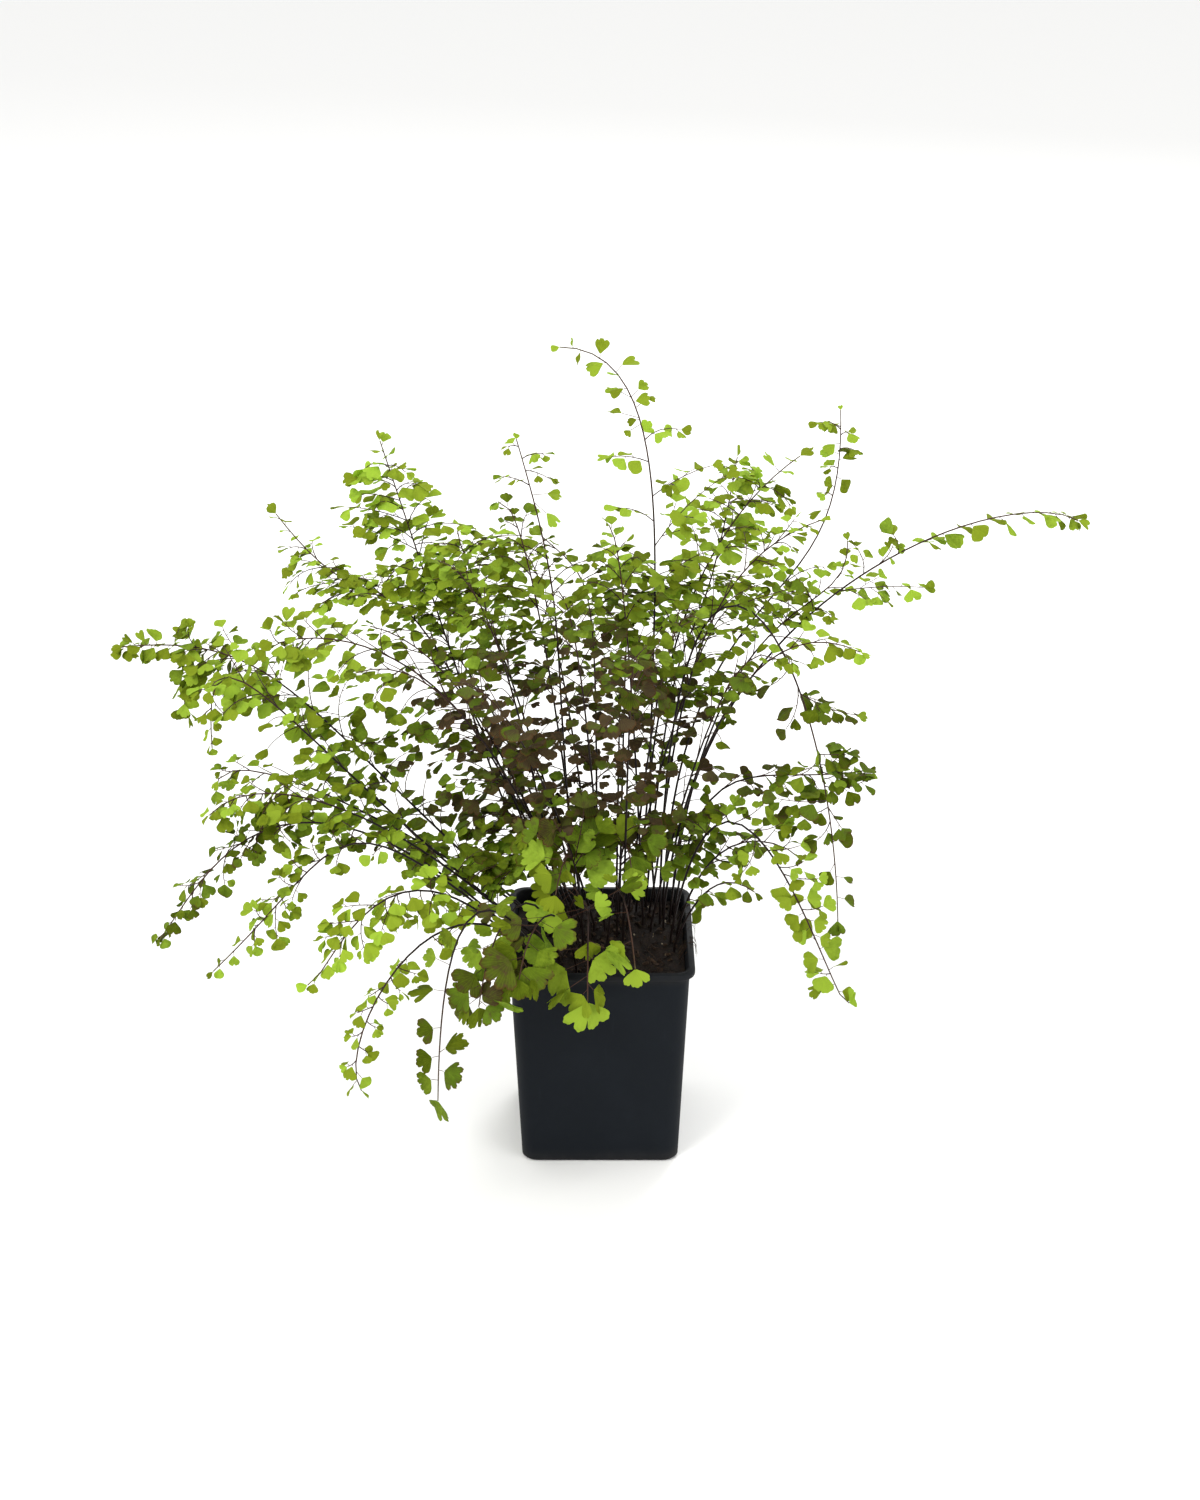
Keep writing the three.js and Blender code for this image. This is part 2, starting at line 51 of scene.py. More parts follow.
Triple = tuple[float, float, float]
Colour = Triple
Array = np.ndarray
Faces = list[tuple[int, ...]]
Node = bpy.types.Node
Socket = bpy.types.NodeSocket
Material = bpy.types.Material
Piece = bpy.types.Object


# ---- numbers and vectors


class SeededRandom:
    """A small repeatable source of random numbers from 0 to 1."""

    MASK = 0xFFFFFFFF
    STEP = 0x6D2B79F5
    RANGE = 4294967296

    def __init__(self, seed: int) -> None:
        """Start the sequence.

        Args:
            seed: Any whole number; the same seed gives the same sequence.
        """
        self.state = seed & self.MASK

    def __call__(self) -> float:
        """Give the next number of the sequence."""
        self.state = (self.state + self.STEP) & self.MASK
        mixed = ((self.state ^ (self.state >> 15)) * (1 | self.state)) & self.MASK
        folded = ((mixed ^ (mixed >> 7)) * (61 | mixed)) & self.MASK
        mixed = ((mixed + folded) & self.MASK) ^ mixed
        return (mixed ^ (mixed >> 14)) / self.RANGE

    def between(self, low: float, high: float) -> float:
        """Give the next number of the sequence, spread from low to high."""
        return low + (high - low) * self()


def unit(vector: Array) -> Array:
    """Give the vector at length one."""
    return vector / np.linalg.norm(vector)


def turned(vector: Array, axis: Array, angle: float) -> Array:
    """Turn a vector about an axis.

    Args:
        vector: The vector to turn.
        axis: The axis, at length one.
        angle: The angle in radians, by the right-hand rule.

    Returns:
        The turned vector.
    """
    cos, sin = math.cos(angle), math.sin(angle)
    return vector * cos + np.cross(axis, vector) * sin + axis * (axis @ vector) * (1 - cos)


# ---- drafting of meshes


def wall_faces(rings: int, size: int) -> Faces:
    """Give the faces that join each ring of a wall or tube to the next, facing out.

    Args:
        rings: How many rings there are, numbered one after the other.
        size: How many points each ring has.

    Returns:
        The faces.
    """
    faces = []
    for low in range(0, size * (rings - 1), size):
        for side in range(size):
            after = (side + 1) % size
            faces.append((low + side, low + after, low + size + after, low + size + side))
    return faces


@dataclass
class MeshDraft:
    """Vertices and faces gathered shell by shell, in millimetres, then made into one object."""

    points: list[Array] = field(default_factory=list)
    faces: Faces = field(default_factory=list)
    finishes: list[int] = field(default_factory=list)
    age: list[Array] = field(default_factory=list)
    tone: list[Array] = field(default_factory=list)
    gloom: list[Array] = field(default_factory=list)
    place: list[Array] = field(default_factory=list)
    count: int = 0

    def add(
        self,
        points: Array,
        faces: Iterable[Sequence[int]],
        finish: int = 0,
        age: float | Array = 0.0,
        tone: float = 0.5,
        place: Optional[Array] = None,
        gloom: float = 1.0,
    ) -> None:
        """Add one closed shell.

        Args:
            points: Its vertices, one row each.
            faces: Its faces, as indices into points.
            finish: The material slot of its faces.
            age: How old the tissue is, from 0 to 1, for the shell or for each vertex.
            tone: A random shade for the whole shell, from 0 to 1.
            place: Where each vertex lies on its leaflet or stem: share out, angle, share along.
            gloom: How bright the shell is, partly as painted shade; 1 is its plain colour.
        """
        total = len(points)
        self.points.append(points)
        for face in faces:
            self.faces.append(tuple(index + self.count for index in face))
            self.finishes.append(finish)
        self.age.append(np.broadcast_to(np.asarray(age, float), (total,)))
        self.tone.append(np.full(total, tone))
        self.gloom.append(np.full(total, gloom))
        self.place.append(np.zeros((total, 3)) if place is None else place)
        self.count += total

    def add_tube(
        self,
        route: Array,
        radii: Array,
        sides: int,
        finish: int = 0,
        age: float | Array = 0.0,
        tone: float = 0.5,
    ) -> None:
        """Add a round tube along a route, closed at both ends.

        Args:
            route: The points along its middle, one row each.
            radii: Its radius at each point.
            sides: How many sides its section has.
            finish: The material slot of its faces.
            age: The age of its tissue, for the tube or for each point of the route.
            tone: A random shade for the whole tube.
        """
        steps = len(route)
        tangents = np.gradient(route, axis=0)
        tangents /= np.linalg.norm(tangents, axis=1)[:, None]
        helper = UP if abs(tangents[0] @ UP) < 0.9 else np.array([1.0, 0.0, 0.0])
        first = unit(np.cross(helper, tangents[0]))
        rings = []
        for point, tangent, radius in zip(route, tangents, radii):
            first = unit(first - (first @ tangent) * tangent)
            second = np.cross(tangent, first)
            angles = np.arange(sides) * 2 * math.pi / sides
            circle = np.outer(np.cos(angles), first) + np.outer(np.sin(angles), second)
            rings.append(point + radius * circle)
        caps = tuple(range(sides - 1, -1, -1)), tuple(range((steps - 1) * sides, steps * sides))
        faces = [caps[0], *wall_faces(steps, sides), caps[1]]
        along = np.repeat(np.linspace(0, 1, steps), sides)
        around = np.tile(np.arange(sides) / sides, steps)
        place = np.stack([along * 0, around, along], axis=1)
        ages = np.repeat(np.broadcast_to(np.asarray(age, float), (steps,)), sides)
        self.add(np.concatenate(rings), faces, finish, ages, tone, place)

    def build(self, name: str, materials: Sequence[Material], crease: float) -> Piece:
        """Make the object in the scene.

        Args:
            name: The object's name.
            materials: The material of each slot.
            crease: Edges that turn by more than this many degrees are drawn sharp.

        Returns:
            The new object, in metres, at the origin.
        """
        mesh = bpy.data.meshes.new(name)
        mesh.from_pydata((np.concatenate(self.points) * MM).tolist(), [], self.faces)
        for material in materials:
            mesh.materials.append(material)
        mesh.polygons.foreach_set("material_index", self.finishes)
        mesh.polygons.foreach_set("use_smooth", [True] * len(self.faces))
        for label, values in (("age", self.age), ("tone", self.tone), ("gloom", self.gloom)):
            attribute = mesh.attributes.new(label, "FLOAT", "POINT")
            attribute.data.foreach_set("value", np.concatenate(values).astype(np.float32))
        place = mesh.attributes.new("place", "FLOAT_VECTOR", "POINT")
        place.data.foreach_set("vector", np.concatenate(self.place).astype(np.float32).ravel())
        mesh.set_sharp_from_angle(angle=math.radians(crease))
        mesh.validate()
        mesh.update()
        piece = bpy.data.objects.new(name, mesh)
        bpy.context.scene.collection.objects.link(piece)
        return piece


# ---- shader building


class Shader:
    """A small hand for building one node tree."""

    FIRST_COLOUR, SECOND_COLOUR, MIXED_COLOUR = 6, 7, 2

    def __init__(self, tree: bpy.types.NodeTree) -> None:
        """Take the tree to build in."""
        self.tree = tree

    def node(self, kind: str, **settings: object) -> Node:
        """Add a node.

        Args:
            kind: Its Blender type name.
            settings: Properties to set on it.

        Returns:
            The new node.
        """
        made = self.tree.nodes.new(kind)
        for key, value in settings.items():
            setattr(made, key, value)
        return made

    def feed(self, socket: Socket, value: object) -> None:
        """Link an output to a socket, or set the socket to a plain value.

        Args:
            socket: The socket to feed.
            value: The output or the plain value.
        """
        if isinstance(value, Socket):
            self.tree.links.new(value, socket)
        else:
            socket.default_value = value

    def fed(self, kind: str, output: str, values: dict[str, object], **settings: object) -> Socket:
        """Add a node and feed its inputs.

        Args:
            kind: Its Blender type name.
            output: The name of the output to give.
            values: What each named input takes.
            settings: Properties to set on it.

        Returns:
            The output socket.
        """
        made = self.node(kind, **settings)
        for label, value in values.items():
            self.feed(made.inputs[label], value)
        return made.outputs[output]

    def math(self, operation: str, *values: object) -> Socket:
        """Work out a sum on numbers.

        Args:
            operation: The name of the sum.
            values: Its numbers or sockets, in order.

        Returns:
            The output socket.
        """
        made = self.node("ShaderNodeMath", operation=operation)
        for socket, value in zip(made.inputs, values):
            self.feed(socket, value)
        return made.outputs[0]

    def span(
        self, value: object, low: float, high: float, to_low: float = 0.0, to_high: float = 1.0
    ) -> Socket:
        """Carry a value from one range to another by a smooth step.

        Args:
            value: The number or socket.
            low: The low end of its range.
            high: The high end of its range.
            to_low: What the low end gives.
            to_high: What the high end gives.

        Returns:
            The output socket, held at both ends.
        """
        made = self.node("ShaderNodeMapRange", interpolation_type="SMOOTHSTEP")
        for socket, number in zip(made.inputs, (value, low, high, to_low, to_high)):
            self.feed(socket, number)
        return made.outputs[0]

    def blend(self, share: object, first: object, second: object, mode: str = "MIX") -> Socket:
        """Mix two colours.

        Args:
            share: How much of the second, from 0 to 1.
            first: The first colour, or its socket.
            second: The second colour, or its socket.
            mode: Blender's blending mode.

        Returns:
            The output socket.
        """
        made = self.node("ShaderNodeMix", data_type="RGBA", blend_type=mode)
        self.feed(made.inputs["Factor"], share)
        for index, colour in ((self.FIRST_COLOUR, first), (self.SECOND_COLOUR, second)):
            self.feed(made.inputs[index], (*colour, 1.0) if isinstance(colour, tuple) else colour)
        return made.outputs[self.MIXED_COLOUR]

    def noise(self, place: object, scale: object, detail: float) -> Socket:
        """Give a cloudy value over the surface."""
        values = {"Vector": place, "Scale": scale, "Detail": detail}
        return self.fed("ShaderNodeTexNoise", "Fac", values)

    def surface_place(self) -> Socket:
        """Give the place on the surface in the object's own metres."""
        return self.node("ShaderNodeTexCoord").outputs["Object"]

    def attribute(self, name: str, output: str = "Fac") -> Socket:
        """Read one of the mesh's own attributes."""
        return self.node("ShaderNodeAttribute", attribute_name=name).outputs[output]

    def dress(self, skin: Node, colour: Socket, rough: Socket, normal: Socket) -> None:
        """Feed a Principled node.

        Args:
            skin: The node.
            colour: Its base colour.
            rough: Its roughness.
            normal: Its bumped normal.
        """
        for label, value in (("Base Color", colour), ("Roughness", rough), ("Normal", normal)):
            self.feed(skin.inputs[label], value)

    def bump(self, height: object, strength: object, distance: object) -> Socket:
        """Turn a height into a bumped normal."""
        values = {"Strength": strength, "Distance": distance, "Height": height}
        return self.fed("ShaderNodeBump", "Normal", values)


class Effects:
    """The shader groups that more than one material uses, each built once."""

    FINE_FACTOR = 5.3
    FINE_SHARE = 0.5
    CLOUD_DETAIL = 4.0
    GRAIN_DETAIL = 5.0

    def __init__(self) -> None:
        """Start with no groups built."""
        self.groups: dict[str, bpy.types.NodeTree] = {}

    def _open(
        self, name: str, numbers: dict[str, float], outputs: dict[str, str]
    ) -> tuple[Shader, Node, Node]:
        """Open a new group.

        Args:
            name: Its name.
            numbers: Its number inputs, with their plain values.
            outputs: Its outputs, with their socket types.

        Returns:
            The hand that builds in it, its input node and its output node.
        """
        tree = bpy.data.node_groups.new(name, "ShaderNodeTree")
        for label, value in numbers.items():
            socket = tree.interface.new_socket(label, in_out="INPUT", socket_type="NodeSocketFloat")
            socket.default_value = value
        for label, kind in outputs.items():
            tree.interface.new_socket(label, in_out="OUTPUT", socket_type=kind)
        self.groups[name] = tree
        shader = Shader(tree)
        return shader, shader.node("NodeGroupInput"), shader.node("NodeGroupOutput")

    def mottle(self, shader: Shader, **numbers: float) -> Node:
        """Place the group for slow and fine cloudiness over a surface, which swings about 0.

        Args:
            shader: The material's shader.
            numbers: The values of its inputs.

        Returns:
            The group's node.
        """
        if "mottle" not in self.groups:
            hand, given, out = self._open(
                "mottle", {"Scale": 60.0, "Depth": 1.0}, {"Value": "NodeSocketFloat"}
            )
            place = hand.surface_place()
            scales = (
                hand.math("MULTIPLY", given.outputs["Scale"], factor)
                for factor in (1.0, self.FINE_FACTOR)
            )
            broad, fine = (hand.noise(place, scale, self.CLOUD_DETAIL) for scale in scales)
            both = hand.math("ADD", broad, hand.math("MULTIPLY", fine, self.FINE_SHARE))
            centred = hand.math("SUBTRACT", both, (1 + self.FINE_SHARE) / 2)
            hand.feed(out.inputs["Value"], hand.math("MULTIPLY", centred, given.outputs["Depth"]))
        return self._place(shader, "mottle", numbers)

    def grain(self, shader: Shader, **numbers: float) -> Node:
        """Place the group for the fine grain that bumps a surface.

        Args:
            shader: The material's shader.
            numbers: The values of its inputs.

        Returns:
            The group's node.
        """
        if "grain" not in self.groups:
            hand, given, out = self._open(
                "grain",
                {"Scale": 900.0, "Strength": 0.3, "Depth": 0.0002},
                {"Normal": "NodeSocketVector", "Value": "NodeSocketFloat"},
            )
            value = hand.noise(hand.surface_place(), given.outputs["Scale"], self.GRAIN_DETAIL)
            normal = hand.bump(value, given.outputs["Strength"], given.outputs["Depth"])
            hand.feed(out.inputs["Normal"], normal)
            hand.feed(out.inputs["Value"], value)
        return self._place(shader, "grain", numbers)

    def _place(self, shader: Shader, name: str, numbers: dict[str, float]) -> Node:
        """Put a group into a material, with its own values.

        Args:
            shader: The material's shader.
            name: The group's name.
            numbers: The values of its inputs.

        Returns:
            The group's node.
        """
        made = shader.node("ShaderNodeGroup", node_tree=self.groups[name])
        for label, value in numbers.items():
            shader.feed(made.inputs[label], value)
        return made


EFFECTS = Effects()


def new_material(name: str, gloss: float) -> tuple[Material, Shader, Node]:
    """Open a material.

    Args:
        name: Its name.
        gloss: How strongly it mirrors, as the shader's specular level.

    Returns:
        The material, the hand that builds in it, and its Principled node.
    """
    material = bpy.data.materials.new(name)
    material.use_nodes = True
    skin = material.node_tree.nodes["Principled BSDF"]
    skin.inputs["Specular IOR Level"].default_value = gloss
    return material, Shader(material.node_tree), skin


@dataclass(frozen=True)
class LeafFinish:
    """Leaflet tissue: thin, veined like a fan, green when young and purple-brown when old."""

    name: str
    young: Colour
    mid: Colour
    old: Colour
    shade: float = 0.0
    vein: Colour = (0.5, 0.66, 0.06)
    edge: Colour = (0.13, 0.06, 0.022)
    blotch: Colour = (0.12, 0.075, 0.035)
    filter: Colour = (1.0, 1.0, 0.55)
    roughness: float = 0.55
    gloss: float = 0.03
    glow: float = 0.42
    vein_lines: float = 24.0
    vein_depth: float = 0.00012

    def build(self) -> Material:
        """Make the material.

        Returns:
            The material.
        """
        material, shader, skin = new_material(self.name, self.gloss)
        place = shader.node("ShaderNodeSeparateXYZ")
        shader.feed(place.inputs[0], shader.attribute("place", "Vector"))
        out, angle = place.outputs[0], place.outputs[1]
        cloud = EFFECTS.mottle(shader, Scale=110.0, Depth=0.55).outputs["Value"]
        aged = shader.math("ADD", shader.attribute("age"), cloud)
        aged = shader.math("ADD", aged, self.shade)
        veins = self._veins(shader, out, angle)
        tissue = self._tissue(shader, aged)
        pale = shader.blend(0.22, tissue, self.vein)
        veined = shader.blend(shader.math("MULTIPLY", veins, 0.45), tissue, pale)
        colour = self._aged(shader, veined, aged, out)
        rough = shader.span(cloud, -0.2, 0.2, self.roughness - 0.07, self.roughness + 0.1)
        normal = shader.bump(shader.math("MULTIPLY", veins, -1.0), 0.35, self.vein_depth)
        shader.dress(skin, colour, rough, normal)
        passed = shader.blend(1.0, colour, self.filter, "MULTIPLY")
        values = {"Color": passed, "Normal": normal}
        through = shader.fed("ShaderNodeBsdfTranslucent", "BSDF", values)
        both = shader.node("ShaderNodeMixShader")
        for socket, value in zip(both.inputs, (self.glow, skin.outputs[0], through)):
            shader.feed(socket, value)
        shader.feed(shader.tree.nodes["Material Output"].inputs["Surface"], both.outputs[0])
        return material

    def _tissue(self, shader: Shader, aged: Socket) -> Socket:
        """Colour the tissue by its age and by the leaflet's own random shade.

        Args:
            shader: The material's shader.
            aged: The age of the tissue.

        Returns:
            The colour.
        """
        tone = shader.attribute("tone")
        green = shader.blend(shader.span(aged, 0.1, 0.5), self.young, self.mid)
        leaf = shader.blend(shader.span(aged, 0.42, 0.9), green, self.old)
        # gloom dims or brightens a whole frond: partly painted shade on fronds that hang in the shade of
        # others, partly their own lighter or darker green.
        bright = shader.math("MULTIPLY", shader.span(tone, 0, 1, 0.63, 1.2), shader.attribute("gloom"))
        values = {
            "Hue": shader.span(tone, 0, 1, 0.488, 0.507),
            "Saturation": shader.span(tone, 0, 1, 1.05, 1.0),
            "Value": bright,
            "Color": leaf,
        }
        return shader.fed("ShaderNodeHueSaturation", "Color", values)

    def _aged(self, shader: Shader, colour: Socket, aged: Socket, out: Socket) -> Socket:
        """Brown the edge of an older leaflet and blotch the oldest.

        Args:
            shader: The material's shader.
            colour: The colour of the veined tissue.
            aged: The age of the tissue.
            out: The share of the way out to the leaflet's edge.

        Returns:
            The leaflet's colour.
        """
        rim = shader.math("MULTIPLY", shader.span(out, 0.86, 1), shader.span(aged, 0.25, 0.6, 0, 0.75))
        edged = shader.blend(rim, colour, self.edge)
        spots = shader.span(shader.noise(shader.surface_place(), 240.0, 2.0), 0.58, 0.68)
        spots = shader.math("MULTIPLY", spots, shader.span(aged, 0.4, 0.65, 0, 0.7))
        return shader.blend(spots, edged, self.blotch)

    def _veins(self, shader: Shader, out: Socket, angle: Socket) -> Socket:
        """Draw the fine veins that fan out from the leaflet's foot and fork on the way.

        Args:
            shader: The material's shader.
            out: The share of the way out to the leaflet's edge.
            angle: The angle across the fan.

        Returns:
            A mask that is 1 on a vein.
        """
        few, many = (self._comb(shader, angle, times * self.vein_lines) for times in (1, 2))
        near = shader.math("MULTIPLY", few, shader.span(out, 0.45, 0.6, 1, 0.25))
        far = shader.math("MULTIPLY", many, shader.span(out, 0.4, 0.6))
        return shader.math("MAXIMUM", near, far)

    def _comb(self, shader: Shader, angle: Socket, lines: float) -> Socket:
        """Draw evenly fanned lines."""
        wave = shader.math("SINE", shader.math("MULTIPLY", angle, lines))
        return shader.span(wave, 0.7, 1)


@dataclass(frozen=True)
class StemFinish:
    """Wiry stem: near-black and polished at the foot, red-brown and then green at its tip."""

    name: str
    foot: Colour = (0.011, 0.0065, 0.006)
    wire: Colour = (0.05, 0.022, 0.013)
    tip: Colour = (0.16, 0.17, 0.05)
    roughness: float = 0.42
    gloss: float = 0.15

    def build(self) -> Material:
        """Make the material.

        Returns:
            The material.
        """
        material, shader, skin = new_material(self.name, self.gloss)
        cloud = EFFECTS.mottle(shader, Scale=160.0, Depth=0.35).outputs["Value"]
        youth = shader.math("ADD", shader.math("SUBTRACT", 1.0, shader.attribute("age")), cloud)
        low = shader.blend(shader.span(youth, 0.25, 0.65), self.foot, self.wire)
        colour = shader.blend(shader.span(youth, 0.7, 1), low, self.tip)
        rough = shader.span(cloud, -0.15, 0.15, self.roughness - 0.06, self.roughness + 0.14)
        grain = EFFECTS.grain(shader, Scale=2600.0, Strength=0.25, Depth=0.0001)
        shader.dress(skin, colour, rough, grain.outputs["Normal"])
        return material


@dataclass(frozen=True)
class PlasticFinish:
    """Moulded plastic: blue-black and satin, cloudy with handling, with dust under the lip."""

    name: str
    colour: Colour = (0.004, 0.0058, 0.0085)
    worn: Colour = (0.0095, 0.012, 0.016)
    dust: Colour = (0.06, 0.052, 0.042)
    roughness: float = 0.58
    gloss: float = 0.1
    scuff_scale: Triple = (420.0, 420.0, 26.0)

    def build(self, rim_height: float) -> Material:
        """Make the material.

        Args:
            rim_height: The height of the lip, in metres, below which dust gathers.

        Returns:
            The material.
        """
        material, shader, skin = new_material(self.name, self.gloss)
        spot = shader.node("ShaderNodeSeparateXYZ")
        shader.feed(spot.inputs[0], shader.surface_place())
        height = spot.outputs["Z"]
        cloud = EFFECTS.mottle(shader, Scale=28.0, Depth=1.0).outputs["Value"]
        scuffs = self._scuffs(shader)
        handled = shader.span(cloud, -0.1, 0.35, 0, 0.35)
        worn = shader.math("ADD", handled, shader.math("MULTIPLY", scuffs, 0.5))
        body = shader.blend(worn, self.colour, self.worn)
        near_lip = shader.span(height, rim_height - 0.006, rim_height, 0, 0.16)
        near_floor = shader.span(height, 0, 0.01, 0.2, 0)
        dusty = shader.math("ADD", near_lip, near_floor)
        dusty = shader.math("MULTIPLY", dusty, shader.span(cloud, -0.3, 0.3, 0.3, 1))
        rough = shader.span(cloud, -0.3, 0.3, self.roughness - 0.05, self.roughness + 0.08)
        rough = shader.math("ADD", rough, shader.math("MULTIPLY", scuffs, 0.12))
        grain = EFFECTS.grain(shader, Scale=1500.0, Strength=0.16, Depth=0.00012)
        colour = shader.blend(dusty, body, self.dust)
        shader.dress(skin, colour, rough, grain.outputs["Normal"])
        return material

    def _scuffs(self, shader: Shader) -> Socket:
        """Draw faint scratches, mostly upright, where pots have been stacked in each other.

        Args:
            shader: The material's shader.

        Returns:
            A mask that is 1 on a scratch.
        """
        values = {"Vector": shader.surface_place(), "Scale": self.scuff_scale}
        stretched = shader.fed("ShaderNodeMapping", "Vector", values)
        return shader.span(shader.noise(stretched, 1.0, 2.0), 0.66, 0.78)


@dataclass(frozen=True)
class EarthFinish:
    """Potting soil and what lies in it: dark, fibrous and crumbly."""

    name: str
    dark: Colour = (0.0045, 0.003, 0.0022)
    light: Colour = (0.021, 0.0115, 0.0068)
    roughness: float = 0.92
    scale: float = 190.0
    gloss: float = 0.2

    def build(self) -> Material:
        """Make the material.

        Returns:
            The material.
        """
        material, shader, skin = new_material(self.name, self.gloss)
        cloud = EFFECTS.mottle(shader, Scale=self.scale, Depth=1.0).outputs["Value"]
        grain = EFFECTS.grain(shader, Scale=self.scale * 6, Strength=0.9, Depth=0.0009)
        value = shader.math("ADD", cloud, shader.math("MULTIPLY", shader.attribute("tone"), 0.6))
        colour = shader.blend(shader.span(value, 0.05, 0.7), self.dark, self.light)
        rough = shader.span(grain.outputs["Value"], 0.3, 0.7, self.roughness - 0.1, self.roughness)
        shader.dress(skin, colour, rough, grain.outputs["Normal"])
        return material


# ---- the pot and the soil


@dataclass
class NurseryPot:
    """The moulded pot, in millimetres: square, tapering, with a narrow turned-out lip."""

    height: float = 132.0
    rim: float = 110.0
    under_lip: float = 104.0
    base: float = 93.6
    wall: float = 1.6
    floor: float = 2.4
    corner: float = 9.0
    lip_height: float = 4.0
    lip_width: float = 3.8
    lip_edge: float = 1.0
    lip_flare: float = 3.0
    base_edge: float = 1.2
    corner_steps: int = 10
    side_steps: int = 8
    drain: float = 8.0
    drain_sides: int = 32
    drain_spacing: float = 56.0
    side_bow: float = -0.5
    side_shares: tuple[float, ...] = (0.03, 0.15, 0.3, 0.45, 0.6, 0.75, 0.88, 0.97)
    crease: float = 50.0
    finish: PlasticFinish = PlasticFinish("pot_plastic")

    def width(self, z: float) -> float:
        """Give the outer width of the wall at a height."""
        share = z / (self.height - self.lip_height)
        return self.base + (self.under_lip - self.base) * share

    def ring(self, width: float, corner: float, z: float) -> Array:
        """Give a level square ring with round corners and evenly split sides.

        Args:
            width: Its width.
            corner: Its corner radius.
            z: Its height.

        Returns:
            Its points, anticlockwise from above.
        """
        inset = width / 2 - corner
        points = []
        for quarter in range(4):
            middle = (quarter + 0.5) * math.pi / 2
            cx = math.copysign(inset, math.cos(middle))
            cy = math.copysign(inset, math.sin(middle))
            for step in range(self.corner_steps + 1):
                angle = (quarter + step / self.corner_steps) * math.pi / 2
                points.append((cx + corner * math.cos(angle), cy + corner * math.sin(angle), z))
            start = np.array(points[-1])
            heading = (quarter + 1) * math.pi / 2 + math.pi / 2
            along = np.array([math.cos(heading), math.sin(heading), 0.0])
            for step in range(1, self.side_steps):
                points.append(tuple(start + along * 2 * inset * step / self.side_steps))
        return np.array(points)

    def profile(self) -> list[tuple[float, float, float, float]]:
        """Give the wall's rings from the outer floor over the lip to the inner floor.

        Returns:
            For each ring its width, its corner radius, its height and how far its sides bow out.
        """
        top, rim, corner, edge = self.height, self.rim, self.corner, self.lip_edge
        under = top - self.lip_height
        throat = under - self.lip_flare
        inner, walls = corner - self.wall, 2 * self.wall
        rows = [
            (self.base - 2 * self.base_edge, corner, 0.0, 0.0),
            (self.base - 0.9 * self.base_edge, corner, 0.25 * self.base_edge, 0.0),
            (self.width(self.base_edge), corner, self.base_edge, 0.0),
        ]
        for share in self.side_shares:
            z = share * under
            rows.append((self.width(z), corner, z, self.side_bow * math.sin(math.pi * share)))
        rows += [
            (self.under_lip, corner, under - 0.3, 0.0),
            (self.under_lip + 0.5, corner, under, 0.0),
            (rim - 1.4 * edge, corner + edge, under + 0.1, 0.0),
            (rim - 0.4 * edge, corner + edge, under + 0.35, 0.0),
            (rim, corner + edge, under + edge, 0.0),
            (rim, corner + edge, top - edge, 0.0),
            (rim - 0.5 * edge, corner + edge, top - 0.3 * edge, 0.0),
            (rim - 1.8 * edge, corner, top, 0.0),
            (rim - 2 * self.lip_width + 0.6, corner - edge, top, 0.0),
            (rim - 2 * self.lip_width, corner - edge, top - 0.4, 0.0),
            (self.width(throat) - walls, inner, throat, 0.0),
            (self.width(0.5 * under) - walls, inner, 0.5 * under, 0.0),
            (self.width(2 * self.floor) - walls, inner, 2 * self.floor, 0.0),
            (self.width(self.floor) - walls - 1.5, inner, self.floor, 0.0),
        ]
        return rows

    def build(self) -> Piece:
        """Build and dress the pot.

        Returns:
            The pot, standing in for its CAD node.
        """
        rings = [self._bowed(row) for row in self.profile()]
        size = len(rings[0])
        last, start = (len(rings) - 1) * size, len(rings) * size
        holes_out, faces_out = self._floor_plate(rings[0], False)
        holes_in, faces_in = self._floor_plate(rings[-1], True)
        above = start + len(holes_out)
        faces = wall_faces(len(rings), size)
        faces += self._offset(faces_out, size, 0, start)
        faces += self._offset(faces_in, size, last, above)
        faces += self._drain_walls(start, above)
        draft = MeshDraft()
        draft.add(np.concatenate([*rings, holes_out, holes_in]), faces)
        rim = (self.height - self.lip_height) * MM
        piece = draft.build("nursery_pot", [self.finish.build(rim)], self.crease)
        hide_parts("pot")
        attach(piece, "root")
        return piece

    def _bowed(self, row: tuple[float, float, float, float]) -> Array:
        """Give one ring of the wall, with its sides drawn in or bowed out a little.

        Args:
            row: The ring's row of the profile.

        Returns:
            Its points.
        """
        width, corner, z, bow = row
        ring = self.ring(width, corner, z)
        reach = width / 2
        for axis in (0, 1):
            on_side = np.abs(np.abs(ring[:, axis]) - reach) < 1e-6
            along = ring[:, 1 - axis] / (reach - corner)
            push = bow * np.clip(1 - along**2, 0, 1)
            ring[:, axis] += np.where(on_side, np.sign(ring[:, axis]) * push, 0.0)
        return ring

    def _hole_ring(self, x: float, y: float, z: float) -> Array:
        """Give the ring of one drain hole.

        Args:
            x: Its middle's x.
            y: Its middle's y.
            z: Its height.

        Returns:
            Its points.
        """
        angles = np.arange(self.drain_sides) * 2 * math.pi / self.drain_sides
        radius = self.drain / 2
        heights = np.full(self.drain_sides, z)
        return np.stack([x + radius * np.cos(angles), y + radius * np.sin(angles), heights], axis=1)

